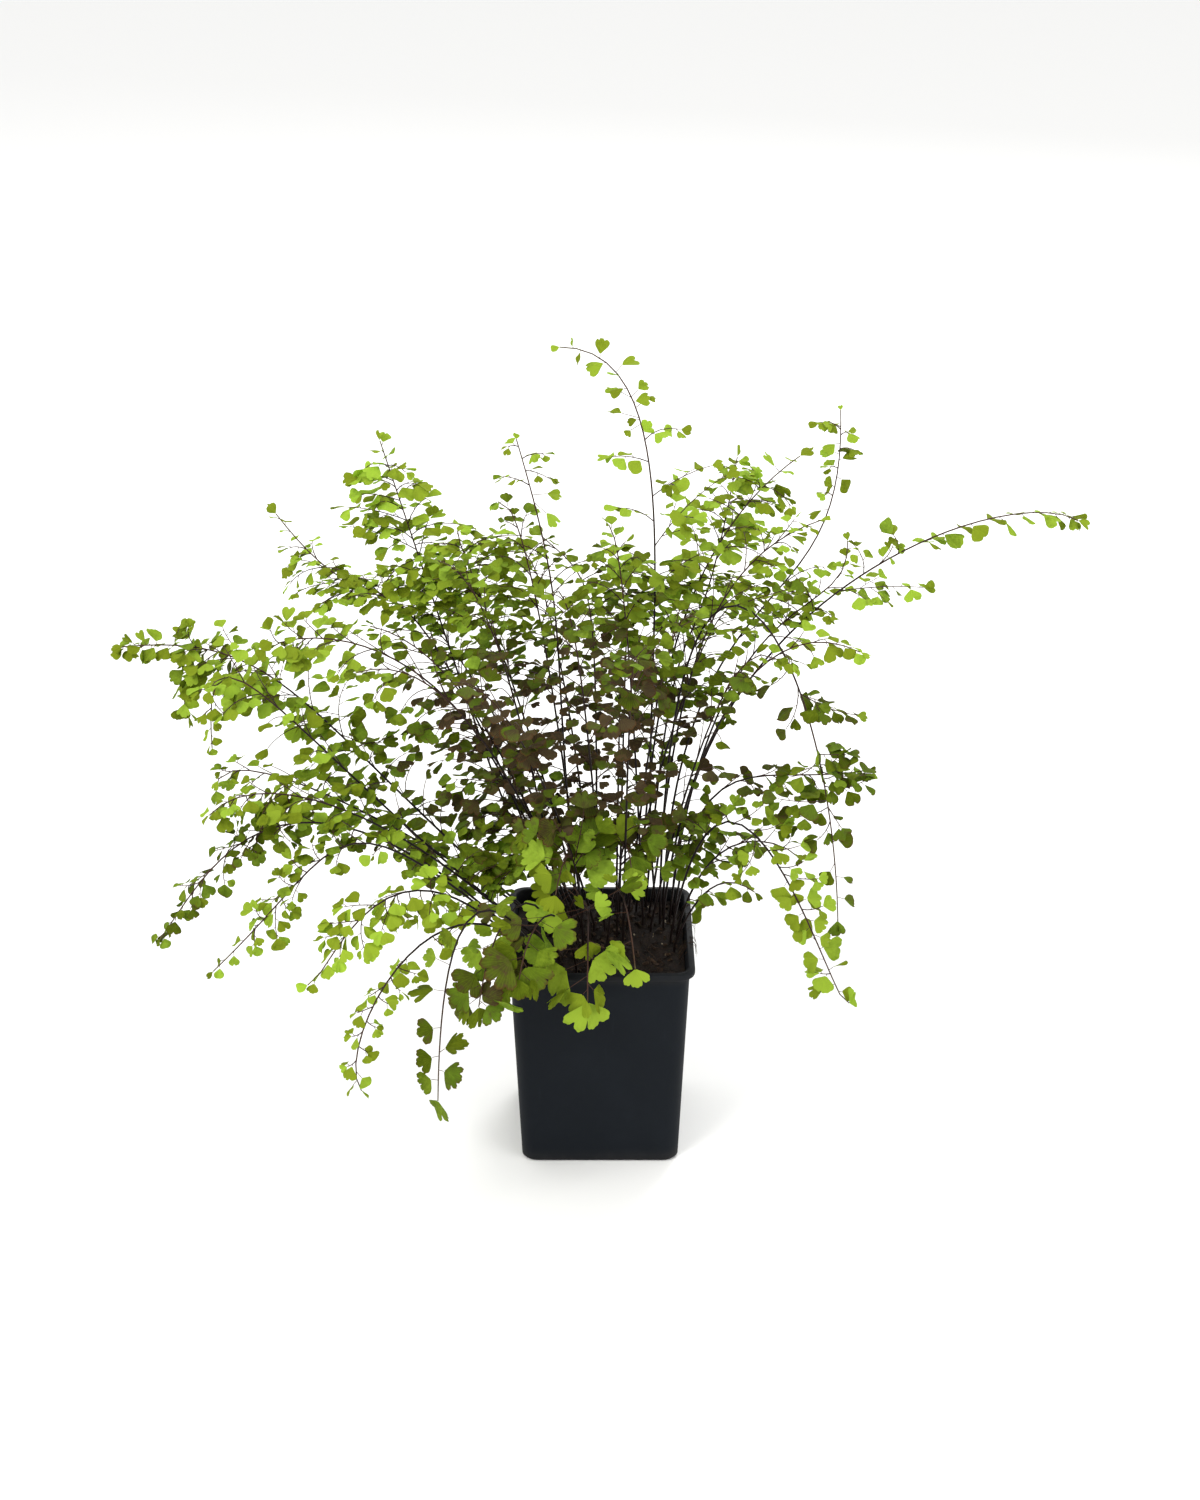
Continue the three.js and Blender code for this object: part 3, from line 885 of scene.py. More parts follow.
    def _floor_plate(self, ring: Array, faces_up: bool) -> tuple[Array, Faces]:
        """Fill the ring with a flat plate that has four drain holes.

        Args:
            ring: The plate's outer edge.
            faces_up: Whether the plate is the inside of the floor.

        Returns:
            The points of the holes, and faces numbered from the ring's first point.
        """
        half = self.drain_spacing / 2
        z = float(ring[0, 2])
        spots = [(x, y) for x in (-half, half) for y in (-half, half)]
        holes = [self._hole_ring(x, y, z) for x, y in spots]
        flat = [Vector((p[0], p[1])) for p in np.concatenate([ring, *holes])]
        size, sides = len(ring), self.drain_sides
        edges = [(i, (i + 1) % size) for i in range(size)]
        for hole in range(4):
            base = size + hole * sides
            edges += [(base + i, base + (i + 1) % sides) for i in range(sides)]
        _, _, triangles, *_ = delaunay_2d_cdt(flat, edges, [], 1, 1e-6)
        kept = []
        for triangle in triangles:
            middle = sum((flat[i] for i in triangle), Vector((0, 0))) / 3
            if all((middle - Vector(spot)).length > self.drain / 2 * 0.98 for spot in spots):
                a, b, c = triangle
                turn = (flat[b] - flat[a]).cross(flat[c] - flat[a])
                anticlockwise = (a, b, c) if turn > 0 else (a, c, b)
                kept.append(anticlockwise if faces_up else anticlockwise[::-1])
        return np.concatenate(holes), kept

    def _offset(self, faces: Faces, size: int, ring: int, holes: int) -> Faces:
        """Renumber a plate's faces to where its ring and its holes lie in the whole mesh."""
        return [tuple(ring + i if i < size else holes + i - size for i in face) for face in faces]

    def _drain_walls(self, low: int, high: int) -> Faces:
        """Give the faces that join each drain hole's lower ring to its upper one.

        Args:
            low: The first point of the lower rings.
            high: The first point of the upper rings.

        Returns:
            The faces.
        """
        faces = []
        for hole in range(4):
            base = hole * self.drain_sides
            for side in range(self.drain_sides):
                i, j = base + side, base + (side + 1) % self.drain_sides
                faces.append((low + j, low + i, high + i, high + j))
        return faces


@dataclass
class Soil:
    """The soil in the pot, in millimetres, mounded round the crown and crumbly on top."""

    pot: NurseryPot
    level: float = 121.0
    gap: float = 0.4
    mound_rise: float = 9.0
    mound_centre: Pair = (4.0, 22.0)
    mound_spread: Pair = (44.0, 32.0)
    lump: float = 0.9
    fine_lump: float = 4.4
    broad_lump: float = 7.0
    rings: int = 46
    crumb: float = 0.9
    crumbs: int = 420
    specks: int = 46
    fibres: int = 140
    fibre_steps: int = 6
    fibre_step: float = 2.2
    roots: int = 15
    root_steps: int = 10
    root_reach: Pair = (-28.0, 34.0)
    hair_radii: Pair = (0.22, 0.08)
    chip_sizes: Pair = (0.8, 2.6)
    speck_sizes: Pair = (0.5, 1.1)
    coarse_crumb: float = 3.1
    fine_crumb: float = 1.3
    finish: EarthFinish = EarthFinish("potting_soil")
    chip_finish: EarthFinish = EarthFinish(
        "bark_chips", (0.011, 0.0065, 0.0045), (0.048, 0.027, 0.0145), 0.85, 320.0
    )
    speck_finish: EarthFinish = EarthFinish(
        "pale_specks", (0.17, 0.13, 0.08), (0.4, 0.34, 0.25), 0.9, 500.0
    )

    def height(self, x: float, y: float) -> float:
        """Give the height of the soil.

        Args:
            x: The place's x.
            y: The place's y.

        Returns:
            The height, without its crumbs.
        """
        dx = (x - self.mound_centre[0]) / self.mound_spread[0]
        dy = (y - self.mound_centre[1]) / self.mound_spread[1]
        mound = self.mound_rise * math.exp(-dx * dx - dy * dy)
        fine = math.sin(x / self.fine_lump + 1) * math.cos(y / self.fine_lump)
        broad = math.sin((y - x) / self.broad_lump)
        return self.level + mound + self.lump * (fine + broad)

    def inner_width(self, z: float) -> float:
        """Give the width of the soil at a height."""
        return self.pot.width(z) - 2 * (self.pot.wall + self.gap)

    def build(self) -> list[Piece]:
        """Build and dress the soil, what lies on it, and the roots at the rim.

        Returns:
            The pieces, the first standing in for the CAD soil.
        """
        body = self._body()
        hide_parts("soil")
        litter = self._litter()
        hairs = self._hair_roots()
        for piece in (body, litter, hairs):
            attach(piece, "root")
        return [body, litter, hairs]

    def _body(self) -> Piece:
        """Make the soil's own closed body with a crumbled top.

        Returns:
            The body.
        """
        floor = self.pot.floor + self.gap
        corner = self.pot.corner - self.pot.wall - self.gap
        edge = self.pot.ring(self.inner_width(self.level), corner, 0.0)
        rings = [self.pot.ring(self.inner_width(floor), corner, floor)]
        rings.append(self.pot.ring(self.inner_width(self.level * 0.5), corner, self.level * 0.5))
        for step in range(self.rings):
            share = 1 - step / self.rings
            rings.append(np.array([self._surface(x * share, y * share, share) for x, y, _ in edge]))
        size = len(edge)
        points = np.concatenate([*rings, [self._surface(0.0, 0.0, 0.0)]])
        faces = [tuple(range(size - 1, -1, -1)), *wall_faces(len(rings), size)]
        last = size * (len(rings) - 1)
        faces += [(last + side, last + (side + 1) % size, len(points) - 1) for side in range(size)]
        draft = MeshDraft()
        draft.add(points, faces)
        return draft.build("soil_body", [self.finish.build()], 80)

    def _surface(self, x: float, y: float, share: float) -> Triple:
        """Give a point of the crumbled surface.

        Args:
            x: Its x.
            y: Its y.
            share: How far out it is; the crumbs die away towards 1, at the pot's wall.

        Returns:
            The point.
        """
        spot = Vector((x, y, 0.0))
        coarse = noise.fractal(spot / self.coarse_crumb, 0.9, 2.1, 4)
        fine = noise.fractal(spot / self.fine_crumb + Vector((9, 4, 2)), 0.8, 2.0, 3)
        rough = self.crumb * (coarse + 0.7 * fine) * min(1.0, (1.02 - share) * 14)
        return x, y, self.height(x, y) + rough

    def _litter(self) -> Piece:
        """Scatter bark chips, fibres and pale specks over the soil.

        Returns:
            The litter.
        """
        random = SeededRandom(71)
        draft = MeshDraft()
        reach = self.inner_width(self.level) / 2 - 4
        for index in range(self.crumbs + self.specks):
            x, y = random.between(-reach, reach), random.between(-reach, reach)
            pale = index >= self.crumbs
            size = random.between(*(self.speck_sizes if pale else self.chip_sizes))
            broad, thick = random.between(0.35, 0.8), random.between(0.25, 0.6)
            stretch = np.array([size, size * broad, size * thick])
            centre = np.array([x, y, self.height(x, y) + 0.25 * size])
            self._chip(draft, centre, stretch, random, 1 if pale else 0)
        for _ in range(self.fibres):
            self._fibre(draft, reach, random)
        materials = [self.chip_finish.build(), self.speck_finish.build()]
        return draft.build("soil_litter", materials, 40)

    def _chip(
        self,
        draft: MeshDraft,
        centre: Array,
        stretch: Array,
        random: SeededRandom,
        finish: int,
    ) -> None:
        """Add one small rough chip: a random eight-cornered lump.

        Args:
            draft: The draft of the litter.
            centre: Its middle.
            stretch: Its half lengths.
            random: The litter's draw.
            finish: The material slot of its faces.
        """
        spin = np.array(Euler((random() * 1.2, random() * 1.2, random() * 6.3)).to_matrix())
        corners = np.array([(x, y, z) for x in (-1, 1) for y in (-1, 1) for z in (-1, 1)], float)
        corners *= np.array([[random.between(0.55, 1.0) for _ in range(3)] for _ in range(8)])
        points = centre + (corners * stretch) @ spin.T
        faces = [(0, 1, 3, 2), (4, 6, 7, 5), (0, 4, 5, 1), (2, 3, 7, 6), (0, 2, 6, 4), (1, 5, 7, 3)]
        draft.add(points, faces, finish, tone=random())

    def _fibre(self, draft: MeshDraft, reach: float, random: SeededRandom) -> None:
        """Add one short fibre that lies across the soil.

        Args:
            draft: The draft of the litter.
            reach: How far from the middle it may lie.
            random: The litter's draw.
        """
        x, y, heading = random.between(-reach, reach), random.between(-reach, reach), random() * 6.3
        route = []
        for _ in range(self.fibre_steps):
            route.append((x, y, self.height(x, y) + random.between(0.2, 1.1)))
            heading += random.between(-0.6, 0.6)
            x = float(np.clip(x + self.fibre_step * math.cos(heading), -reach, reach))
            y = float(np.clip(y + self.fibre_step * math.sin(heading), -reach, reach))
        radii = np.linspace(*self.hair_radii, self.fibre_steps)
        draft.add_tube(np.array(route), radii, 4, tone=random())

    def _hair_roots(self) -> Piece:
        """Make the fine roots that spill over the rim at the pot's right.

        Returns:
            The roots.
        """
        random = SeededRandom(29)
        draft = MeshDraft()
        rim = self.pot.rim / 2
        for _ in range(self.roots):
            y = random.between(*self.root_reach)
            start = np.array([rim - 9, y, self.height(rim - 12, y) - 1.0])
            side, rise = random.between(-3, 3), random.between(0.6, 2.2)
            over = np.array([rim - 1.0, y + side, self.pot.height + rise])
            out, along, fall = random.between(2.0, 4.5), random.between(-5, 5), random.between(2, 14)
            hang = over + np.array([out, along, -fall])
            lift = over * 2 - 0.5 * (start + hang)
            t = np.linspace(0, 1, self.root_steps)[:, None]
            route = (1 - t) ** 2 * start + 2 * t * (1 - t) * lift + t**2 * hang
            radii = np.linspace(*self.hair_radii, self.root_steps)
            draft.add_tube(route, radii, 5, tone=random.between(0.5, 1.0))
        return draft.build("hair_roots", [self.chip_finish.build()], 60)


# ---- the planting


class LeafForm(Enum):
    """The forms of leaflet: size across in millimetres, and the room each takes on its rib."""

    FAN = ("fan", 11.5, 7.0)
    BROAD = ("broad", 15.0, 9.0)
    LOBED = ("lobed", 19.0, 11.0)

    def __init__(self, label: str, size: float, spacing: float) -> None:
        """Keep the form's label and its sizes in the CAD blades."""
        self.label = label
        self.size = size
        self.spacing = spacing


@dataclass(frozen=True)
class Sprig:
    """A listed side rib, or one leaflet on a stalk where it has a single leaflet.

    It leaves its stem at a share of its length and reaches right and up by millimetres. Its size
    is a factor on its leaflets, and its shade makes their tissue older or younger.
    """

    share: float
    right: float
    up: float
    leaflets: int = 1
    size: float = 1.0
    shade: float = 0.0


def sprigs(*rows: tuple[float, ...], size: float = 1.0) -> tuple[Sprig, ...]:
    """Read the sprigs of a frond.

    Args:
        rows: The values of each sprig, in the order of its fields.
        size: The size of the sprigs whose rows end before it.

    Returns:
        The sprigs, in the same order.
    """
    plain = (1, size)
    return tuple(Sprig(*row, *plain[len(row) - 3 :]) for row in rows)


@dataclass(frozen=True)
class Clearing:
    """An airy shaft through the blades, running back and down, where few leaflets stand.

    Its middle is at x and z where y is 0. It is as wide as twice its reach.
    """

    x: float
    z: float
    reach: float
    fall: float = 0.456

    def holds(self, point: Array) -> bool:
        """Tell whether a point lies in the shaft.

        Args:
            point: The point.

        Returns:
            Whether it does.
        """
        across = point[0] - self.x
        height = point[2] + self.fall * point[1] - self.z
        return bool(math.hypot(across, height) < self.reach)


@dataclass(frozen=True)
class LeafLook:
    """The colour of one leaflet: the age of its tissue, a random shade, and how dark it is, partly as
    painted shade.
    """

    age: float
    tone: float
    gloom: float


@dataclass
class Frond:
    """One frond's place and look, in millimetres: it rises from its root and arches to its tip.

    The fields up to leaf are the CAD's. The rest dress the frond: shade ages its tissue, gloom
    dims or brightens it, partly as painted shade on fronds that hang in the shade of others and
    partly for their own lighter or darker green, and size is a factor on its leaflets. Ribs start
    at a share of the stem; longest, lone, gap and widest are the longest rib, how far lone
    leaflets run from the tip, and the least and most room between ribs. Ribs droop, and leaflets
    lie level or tilt at random. Without seeded, it bears only its sprigs. Dress is its leaflets'
    form where it isn't the CAD's.
    """

    root: Pair
    rise: float
    lean: float
    bend: Pair
    tip: Triple
    twist: float = 0.0
    leaf: LeafForm = LeafForm.FAN
    inner: bool = False
    shade: float = 0.0
    start: float = 0.42
    longest: float = 60.0
    size: float = 1.0
    # gloom dims or brightens the whole frond: partly painted shade where it hangs in the shade of others,
    # partly its own lighter or darker green.
    gloom: float = 1.0
    droop: float = 0.2
    level: float = 0.5
    lone: float = 30.0
    gap: float = 5.0
    widest: float = 13.0
    sprigs: tuple[Sprig, ...] = ()
    seeded: bool = True
    dress: Optional[LeafForm] = None
    tilt: float = 0.75
    NEAR = 0.004
    TIP_LEAFLETS = 2
    STEM_STEP = 70.0
    LEAST_STEPS = 3
    DIVISIONS = 200
    NECK = 4.0

    def plant(self, soil: Soil) -> "Frond":
        """Set the frond on the soil and work out its curve.

        Args:
            soil: The soil that it grows from.

        Returns:
            The frond itself.
        """
        x, y = self.root
        self.ground = soil.height(x, y)
        tip = np.array(self.tip, float)
        neck = self.ground + self.NECK
        out, bend_z = self.bend
        places = [(0.0, neck), (self.lean, neck + self.rise), (out, bend_z), (1.0, tip[2])]
        self.handles = np.array([(x + (tip[0] - x) * s, y + (tip[1] - y) * s, z) for s, z in places])
        self.times = np.linspace(0, 1, self.DIVISIONS + 1)
        table = self._at_times(self.times)
        steps = np.linalg.norm(np.diff(table, axis=0), axis=1)
        self.lengths = np.concatenate([[0.0], np.cumsum(steps)])
        self.full = float(self.lengths[-1])
        self.across = unit(np.array([y - tip[1], tip[0] - x, 0.0]))
        short = self.full - self.TIP_LEAFLETS * self.leaf.spacing - self.leaf.size
        count = math.floor(short / self.STEM_STEP + 0.5) + self.LEAST_STEPS
        self.route = self.at(np.arange(count + 1) / count * short / self.full)
        return self

    def _at_times(self, times: Array) -> Array:
        """Give points of the stem's curve.

        Args:
            times: The curve's own times, from 0 to 1.

        Returns:
            The points, one row each.
        """
        t = times[:, None]
        a, b, c, d = self.handles
        return (1 - t) ** 3 * a + 3 * (1 - t) ** 2 * t * b + 3 * (1 - t) * t * t * c + t**3 * d

    def at(self, shares: Array) -> Array:
        """Give the points at shares of the stem's length."""
        times = np.interp(np.asarray(shares) * self.full, self.lengths, self.times)
        return self._at_times(np.atleast_1d(times))

    def heading(self, share: float) -> Array:
        """Give the stem's direction at a share of its length."""
        ends = self.at(np.array([max(share - self.NEAR, 0.0), min(share + self.NEAR, 1.0)]))
        return unit(ends[1] - ends[0])


def outer_fronds() -> list[Frond]:
    """List the fronds that make the plant's outline.

    Returns:
        The fronds in the order of their CAD nodes, not yet planted.
    """
    fan, broad, lobed = LeafForm.FAN, LeafForm.BROAD, LeafForm.LOBED
    return [
        Frond((34, 36), 140, 0.3, (-0.5, 475), (-22, 30, 477), 1.3, shade=-0.02, level=-0.75, tilt=0.2,
            seeded=False, sprigs=sprigs(
            (0.98, -0.5, 1, 1, 0.7), (0.968, -0.3, -1, 1, 0.8), (0.937, 0, 2, 1, 1.15),
            (0.925, -1.5, -0.5, 1, 1.1), (0.905, 3, 4, 1, 1.05), (0.893, -1, 1, 1, 0.85),
            (0.874, -1.8, 0.3, 1, 0.85), (0.86, 5, 2.4), (0.858, -7, 0.3, 1, 1.1),
            (0.85, 0.6, 1, 1, 0.85), (0.842, 7, 3, 1, 0.75), (0.825, -10, 1, 1, 1.05),
            (0.822, -1.5, 0.3, 1, 0.8), (0.815, -6, -3, 1, 0.6), (0.8, 0.6, 0.8), (0.79, 20, 6, 3),
            (0.755, -21, 3, 4), (0.7, 33, 18, 5, 0.85), (0.66, -20, 8, 3), (0.62, 40, 42, 8, 0.85),
            (0.58, -26, 16, 5), (0.55, 34, 24, 6), (0.52, -14, -2, 4), (0.59, -18, 0, 4),
            (0.57, 16, 4, 4), (0.56, -22, 6, 5), (0.54, 20, 6, 5), (0.5, -26, 20, 5), (0.47, 28, 20, 5),
            (0.44, -28, 20, 6), (0.42, 30, 22, 6), (0.38, 24, 18, 5),
        )),
        Frond((-14, 34), 190, 0.5, (0.05, 310), (-46, 20, 428), 1.1, size=0.72, seeded=False,
            sprigs=sprigs(
            (0.985, -6, 0, 2), (0.96, 12, 3, 4), (0.935, 14, -5, 3), (0.905, -15, 5, 4),
            (0.885, 8, -2, 1, 1.3), (0.87, 6, -7, 1, 1.4), (0.75, -24, 10, 4), (0.7, 26, 14, 5),
            (0.62, -28, 16, 5), (0.56, 24, 16, 5), (0.48, -22, 12, 4), (0.42, 18, 10, 4),
            (0.36, -16, 4, 4, 1.3), (0.33, 14, 0, 4, 1.3), (0.3, -14, 4, 4, 1.3), (0.26, -12, 2, 4, 1.3),
            (0.24, 12, 2, 4, 1.3), (0.22, -14, 2, 4, 1.3), (0.2, 10, 0, 4, 1.3),
        )),
        Frond((-25, 30), 65, 0.35, (0.2, 150), (-125, 60, 415), 0.6, start=0.14, longest=50, size=1.08,
            gloom=1.1, lone=12, gap=3.4, sprigs=sprigs(
            (0.95, -14, -2, 3), (0.95, 10, -4, 2), (0.92, -20, 2, 4), (0.9, 12, 4, 3), (0.88, -22, 4, 4),
            (0.84, -34, 8, 6), (0.81, 30, 6, 6), (0.78, -38, 14, 7), (0.75, 18, 2, 4), (0.72, 20, 2, 5),
            (0.69, -20, 4, 5), (0.66, 20, 8, 5), (0.74, -16, -4, 4), (0.71, 14, -6, 4),
            (0.67, -16, -4, 4), (0.79, 18, 0, 5), (0.76, 16, -6, 4), (0.6, -8, 8, 4), (0.62, 10, 10, 5),
            (0.58, -14, 6, 5), (0.64, -16, -2, 4), (0.37, -28, 10, 4), (0.3, -32, 10, 5),
            (0.25, -30, 8, 5), (0.2, -24, 4, 4), (0.16, -28, -4, 5), (0.13, -26, -4, 5),
        )),
        Frond((-20, 22), 290, 0.7, (0.55, 270), (-188, 70, 368), 0.4, start=0.14, longest=54, size=0.9,
            lone=20, gap=4.2, level=1.4, sprigs=sprigs(
            (0.9, -14, -8, 4), (0.86, -22, -10, 5), (0.8, -34, -6, 6), (0.76, -30, -8, 5),
            (0.74, 28, 24, 6), (0.68, 26, 26, 6), (0.86, 14, -4, 4), (0.83, 18, -2, 5), (0.8, 20, -4, 5),
            (0.78, -20, 6, 5), (0.73, -26, 4, 6), (0.7, -24, 6, 5), (0.36, -20, 8, 4), (0.28, -24, 6, 4),
            (0.2, -26, -2, 5),
        )),
        Frond((-30, 24), 210, 0.25, (0.95, 330), (-185, -20, 319), start=0.14, longest=46, lone=18,
            sprigs=sprigs(
            (0.97, -4, 8, 3), (0.94, 2, -12, 4), (0.96, 6, -10, 4), (0.75, 0, 16, 4), (0.92, -10, 9, 4),
            (0.9, -8, -12, 4), (0.55, -28, -16, 5), (0.5, -30, -6, 5), (0.46, -30, 4, 5),
            (0.4, -28, 6, 5), (0.33, -32, 4, 5), (0.28, -30, 2, 5), (0.24, -34, -4, 6), (0.2, -30, 0, 6),
            (0.17, -32, -2, 6), (0.14, -34, 0, 6), (0.11, -36, 4, 6),
        )),
        Frond((-38, 16), 140, 0.6, (0.6, 315), (-273, 20, 305), start=0.14, shade=0.14, lone=44, gap=1.3,
            level=0.4, size=1.15, sprigs=sprigs(
            (0.985, 1, -1.5, 1, 0.7), (0.975, -1, 2, 1, 0.7), (0.965, 1, -2, 1, 0.8),
            (0.955, 0, 2, 1, 0.8), (0.945, 0, -2, 1, 0.8), (0.935, -1, 2, 1, 0.8), (0.9, 3, 10, 3, 0.8),
            (0.86, -4, 12, 4, 0.8), (0.86, -8, -42, 8), (0.82, -22, -34, 7), (0.46, 10, 16, 4),
            (0.5, 16, 4, 4), (0.42, 14, 16, 4), (0.54, 14, -6, 4), (0.48, -6, 14, 4), (0.84, -6, -10, 3),
            (0.8, -8, -13, 4), (0.78, -4, -22, 5), (0.76, -14, -14, 4), (0.72, -16, -12, 4),
            (0.33, 12, 6, 4, 0.9), (0.36, 6, 24, 4, 0.9), (0.31, 2, 24, 4, 0.9), (0.26, 2, 22, 4, 0.9),
            (0.2, 6, 18, 3, 0.9),
        )),
        Frond((-40, 4), 145, 0.8, (1, 365), (-217, -30, 264), start=0.14, longest=40, lone=20, gap=4.0,
            sprigs=sprigs(
            (0.2, 10, 12, 4), (0.16, 12, 16, 4), (0.13, 12, 22, 5), (0.1, 6, 24, 5),
        )),
        Frond((-32, 8), 35, 0.15, (1, 290), (-218, -30, 236), start=0.16, shade=0.12, longest=38,
            level=1.0, gap=3.4, lone=12, sprigs=sprigs(
            (0.28, -6, 16, 4), (0.24, 14, 10, 4), (0.69, 8, 14, 4, 1), (0.2, 10, 12, 4), (0.16, 4, 14, 4),
            size=0.9,
        )),
        Frond((-38, -4), 105, 0.45, (0.85, 265), (-216, -60, 237), start=0.16, shade=0.1, longest=36,
            level=1.0, gap=3.4, lone=12, sprigs=sprigs(
            (0.3, 10, 14, 4, 0.9), (0.26, 16, 12, 4, 0.9), (0.22, 18, 14, 4, 0.9), (0.18, 12, 20, 4, 0.9),
            (0.95, -2, -10, 3), (0.9, 8, -14, 4), (0.86, 4, -18, 5), (0.8, 6, -18, 5), (0.74, 4, -16, 4),
        )),
        Frond((-42, -10), 175, 0.65, (0.85, 210), (-245, -80, 170), shade=0.3, start=0.2, longest=26,
            gap=2.0, gloom=0.8, size=0.88, sprigs=sprigs(
            (0.5, -2, -8, 3), (0.54, 2, -8, 3), (0.78, 6, 8, 3), (0.74, -2, 9, 3), (0.7, 6, 10, 4),
            (0.66, -3, 10, 4), (0.74, 8, -6, 3), (0.7, -2, -10, 4), (0.66, 6, -10, 4),
        )),
        Frond((-38, -17), 140, 0.65, (0.55, 225), (-214, -95, 158), start=0.3, longest=26, size=0.85,
            shade=0.1, sprigs=sprigs(
            (0.66, -4, 10, 4), (0.7, -8, 8, 4), (0.74, -8, 6, 3), (0.6, -6, 10, 4), (0.78, 4, -8, 3),
            (0.84, -4, 6, 3),
        )),
        Frond((-40, -26), 140, 0.65, (0.9, 155), (-160, -110, 158), start=0.2, longest=46, droop=0.5,
            shade=-0.12, gloom=1.1, sprigs=sprigs(
            (0.66, 2, -14, 4), (0.62, 6, -16, 4), (0.58, 10, -20, 5), (0.54, 8, -18, 4),
            (0.5, 10, -14, 4), (0.5, 0, 8, 4), (0.8, -14, -4, 4), (0.76, -16, -2, 4),
        )),
        Frond((-32, -32), 115, 0.55, (1.15, 140), (-131, -130, 103), 0.0, broad, size=0.85, shade=-0.05,
            level=0.1, dress=fan, seeded=False, sprigs=sprigs(
            (0.42, -6, -8, 2), (0.5, 6, -6, 2), (0.58, -8, -8, 3), (0.63, 10, -4, 3), (0.66, 5, -9, 3),
            (0.69, -8, -6, 3), (0.72, 6, -5, 2), (0.75, -9, -4, 3), (0.79, 5, -4, 2), (0.82, -6, -3, 2),
            (0.86, 5, -4, 2), (0.9, -5, -4, 2), (0.93, 4, -4), (0.96, -3, -4),
        )),
        Frond((-26, -38), 30, 0.2, (0.9, 280), (-90, -120, 90), 0.0, lobed, shade=0.26, size=0.74,
            gloom=0.75, level=-0.1, seeded=False, sprigs=sprigs(
            (0.58, 7, 3, 1, 0.6), (0.62, -8, 3, 1, 0.6), (0.69, -6, 1), (0.79, -4, 1), (0.86, 4, 1),
            (0.87, -4, 0), (0.91, 3, 0, 1, 0.9), (0.94, -4, 1, 1, 1), (0.5, -10, -6, 1, 0.8),
            (0.44, 8, 6, 1, 1), size=1.1,
        )),
        Frond((-12, 27), 165, 0.55, (1.1, 375), (-81, 40, 368), start=0.24, longest=48, lone=12, gap=3.6,
            level=1.6, sprigs=sprigs(
            (0.95, -16, 2, 4), (0.93, 18, 6, 4), (0.88, -26, 10, 5), (0.64, -12, 14, 5), (0.6, -4, 20, 5),
            (0.9, 18, 2, 4), (0.82, 22, 0, 5), (0.76, 20, 4, 5), (0.9, 40, 8, 7), (0.86, 44, 4, 8),
            (0.94, 34, 10, 6), (0.87, -30, -2, 6), (0.83, -32, 2, 6), (0.85, 26, 14, 5),
            (0.8, -28, 16, 6), (0.78, 26, 12, 5), (0.72, -28, 18, 6),
        )),
        Frond((-2, 38), 225, 0, (0, 335), (-34, 60, 358), 0.0, lobed, shade=0.25, start=0.5, size=0.8,
            gloom=0.85, longest=30, dress=broad, sprigs=sprigs(
            (0.3, -12, 8, 3), (0.34, 12, 8, 3), (0.4, -14, 8, 3), (0.45, 12, 8, 3), (0.32, -22, 4, 4),
            (0.28, -20, 2, 4), (0.36, 18, 2, 4), (0.26, 16, 4, 4), (0.85, 24, 8, 5, 0.8),
            (0.82, 34, 12, 7, 0.8), (0.8, 36, 4, 7, 0.8), (0.77, 40, 10, 7, 0.8), (0.75, 26, 2, 5, 0.8),
            (0.72, 38, 6, 7, 0.8), (0.95, -20, 2, 5, 0.8), size=0.7,
        )),
        Frond((28, 38), 235, 0.35, (0.5, 235), (80, 90, 396), -0.6, start=0.3, longest=58, lone=8,
            gap=3.0, level=1.1, widest=11, sprigs=sprigs(
            (0.96, -6, 6, 3), (0.95, 8, 4, 3), (0.9, 12, 2, 4), (0.86, -16, 8, 4), (0.84, 16, 6, 4),
            (0.66, -24, 0, 5), (0.7, -28, 4, 6), (0.63, -20, 8, 5), (0.68, 18, 2, 4),
        )),
        Frond((22, 28), 60, 0.1, (0, 350), (114, 60, 406), 0.0, broad, start=0.3, longest=58, size=0.84,
            lone=18, gap=4.0, level=1.4, widest=11, sprigs=sprigs(
            (0.95, -2, 4, 1, 1.3), (0.93, 3, -3, 1, 1.3), (0.9, -6, 14, 3), (0.86, 6, 16, 3),
            (0.91, 16, -12, 4), (0.9, -14, 8, 4), (0.87, 14, -2, 4), (0.84, -18, 10, 5), (0.8, 20, 0, 5),
            (0.68, -26, -2, 6), (0.64, -24, 4, 5), (0.7, 16, -4, 4), (0.72, -20, 4, 5), size=0.9,
        )),
        Frond((30, 26), 85, 0.15, (0.1, 350), (123, 20, 381), start=0.3, longest=62, lone=14, gap=3.6,
            level=1.6, widest=10, sprigs=sprigs(
            (0.9, 10, 14, 4), (0.87, -4, 14, 4), size=0.9,
        )),
        Frond((38, 29), 235, 0.05, (1.1, 285), (138, 80, 427), -1, size=0.66, level=-0.3, tilt=0.45,
            seeded=False, sprigs=sprigs(
            (0.965, -13, 4, 5), (0.97, -6, 0, 2, 1), (0.955, 4, 2, 2), (0.94, -3, 0, 1, 1.4),
            (0.93, 9, -1, 3), (0.92, -3, 1, 1, 1.5), (0.91, 2, 0, 1, 1.4), (0.895, -5, 1, 2),
            (0.88, 3, -1, 1, 1.4), (0.86, -2, 1, 1, 1.3), (0.845, -5, 2, 2), (0.82, -4, 1, 1, 1.3),
            (0.66, 26, 12, 5), (0.6, -22, 18, 5), (0.54, 28, 14, 5), (0.69, -14, 4, 4, 1.3),
            (0.64, 16, 0, 4, 1.3), (0.26, 18, 2, 4, 1.4), (0.23, 16, 4, 4, 1.4), (0.2, 16, 8, 4, 1.4),
            (0.5, -11, 2, 2, 1.8), (0.47, -16, 2, 3, 1.8), (0.44, -13, 0, 2, 1.8), (0.42, 8, 2, 2, 1.8),
            (0.39, -12, 2, 2, 1.6), size=1.2,
        )),
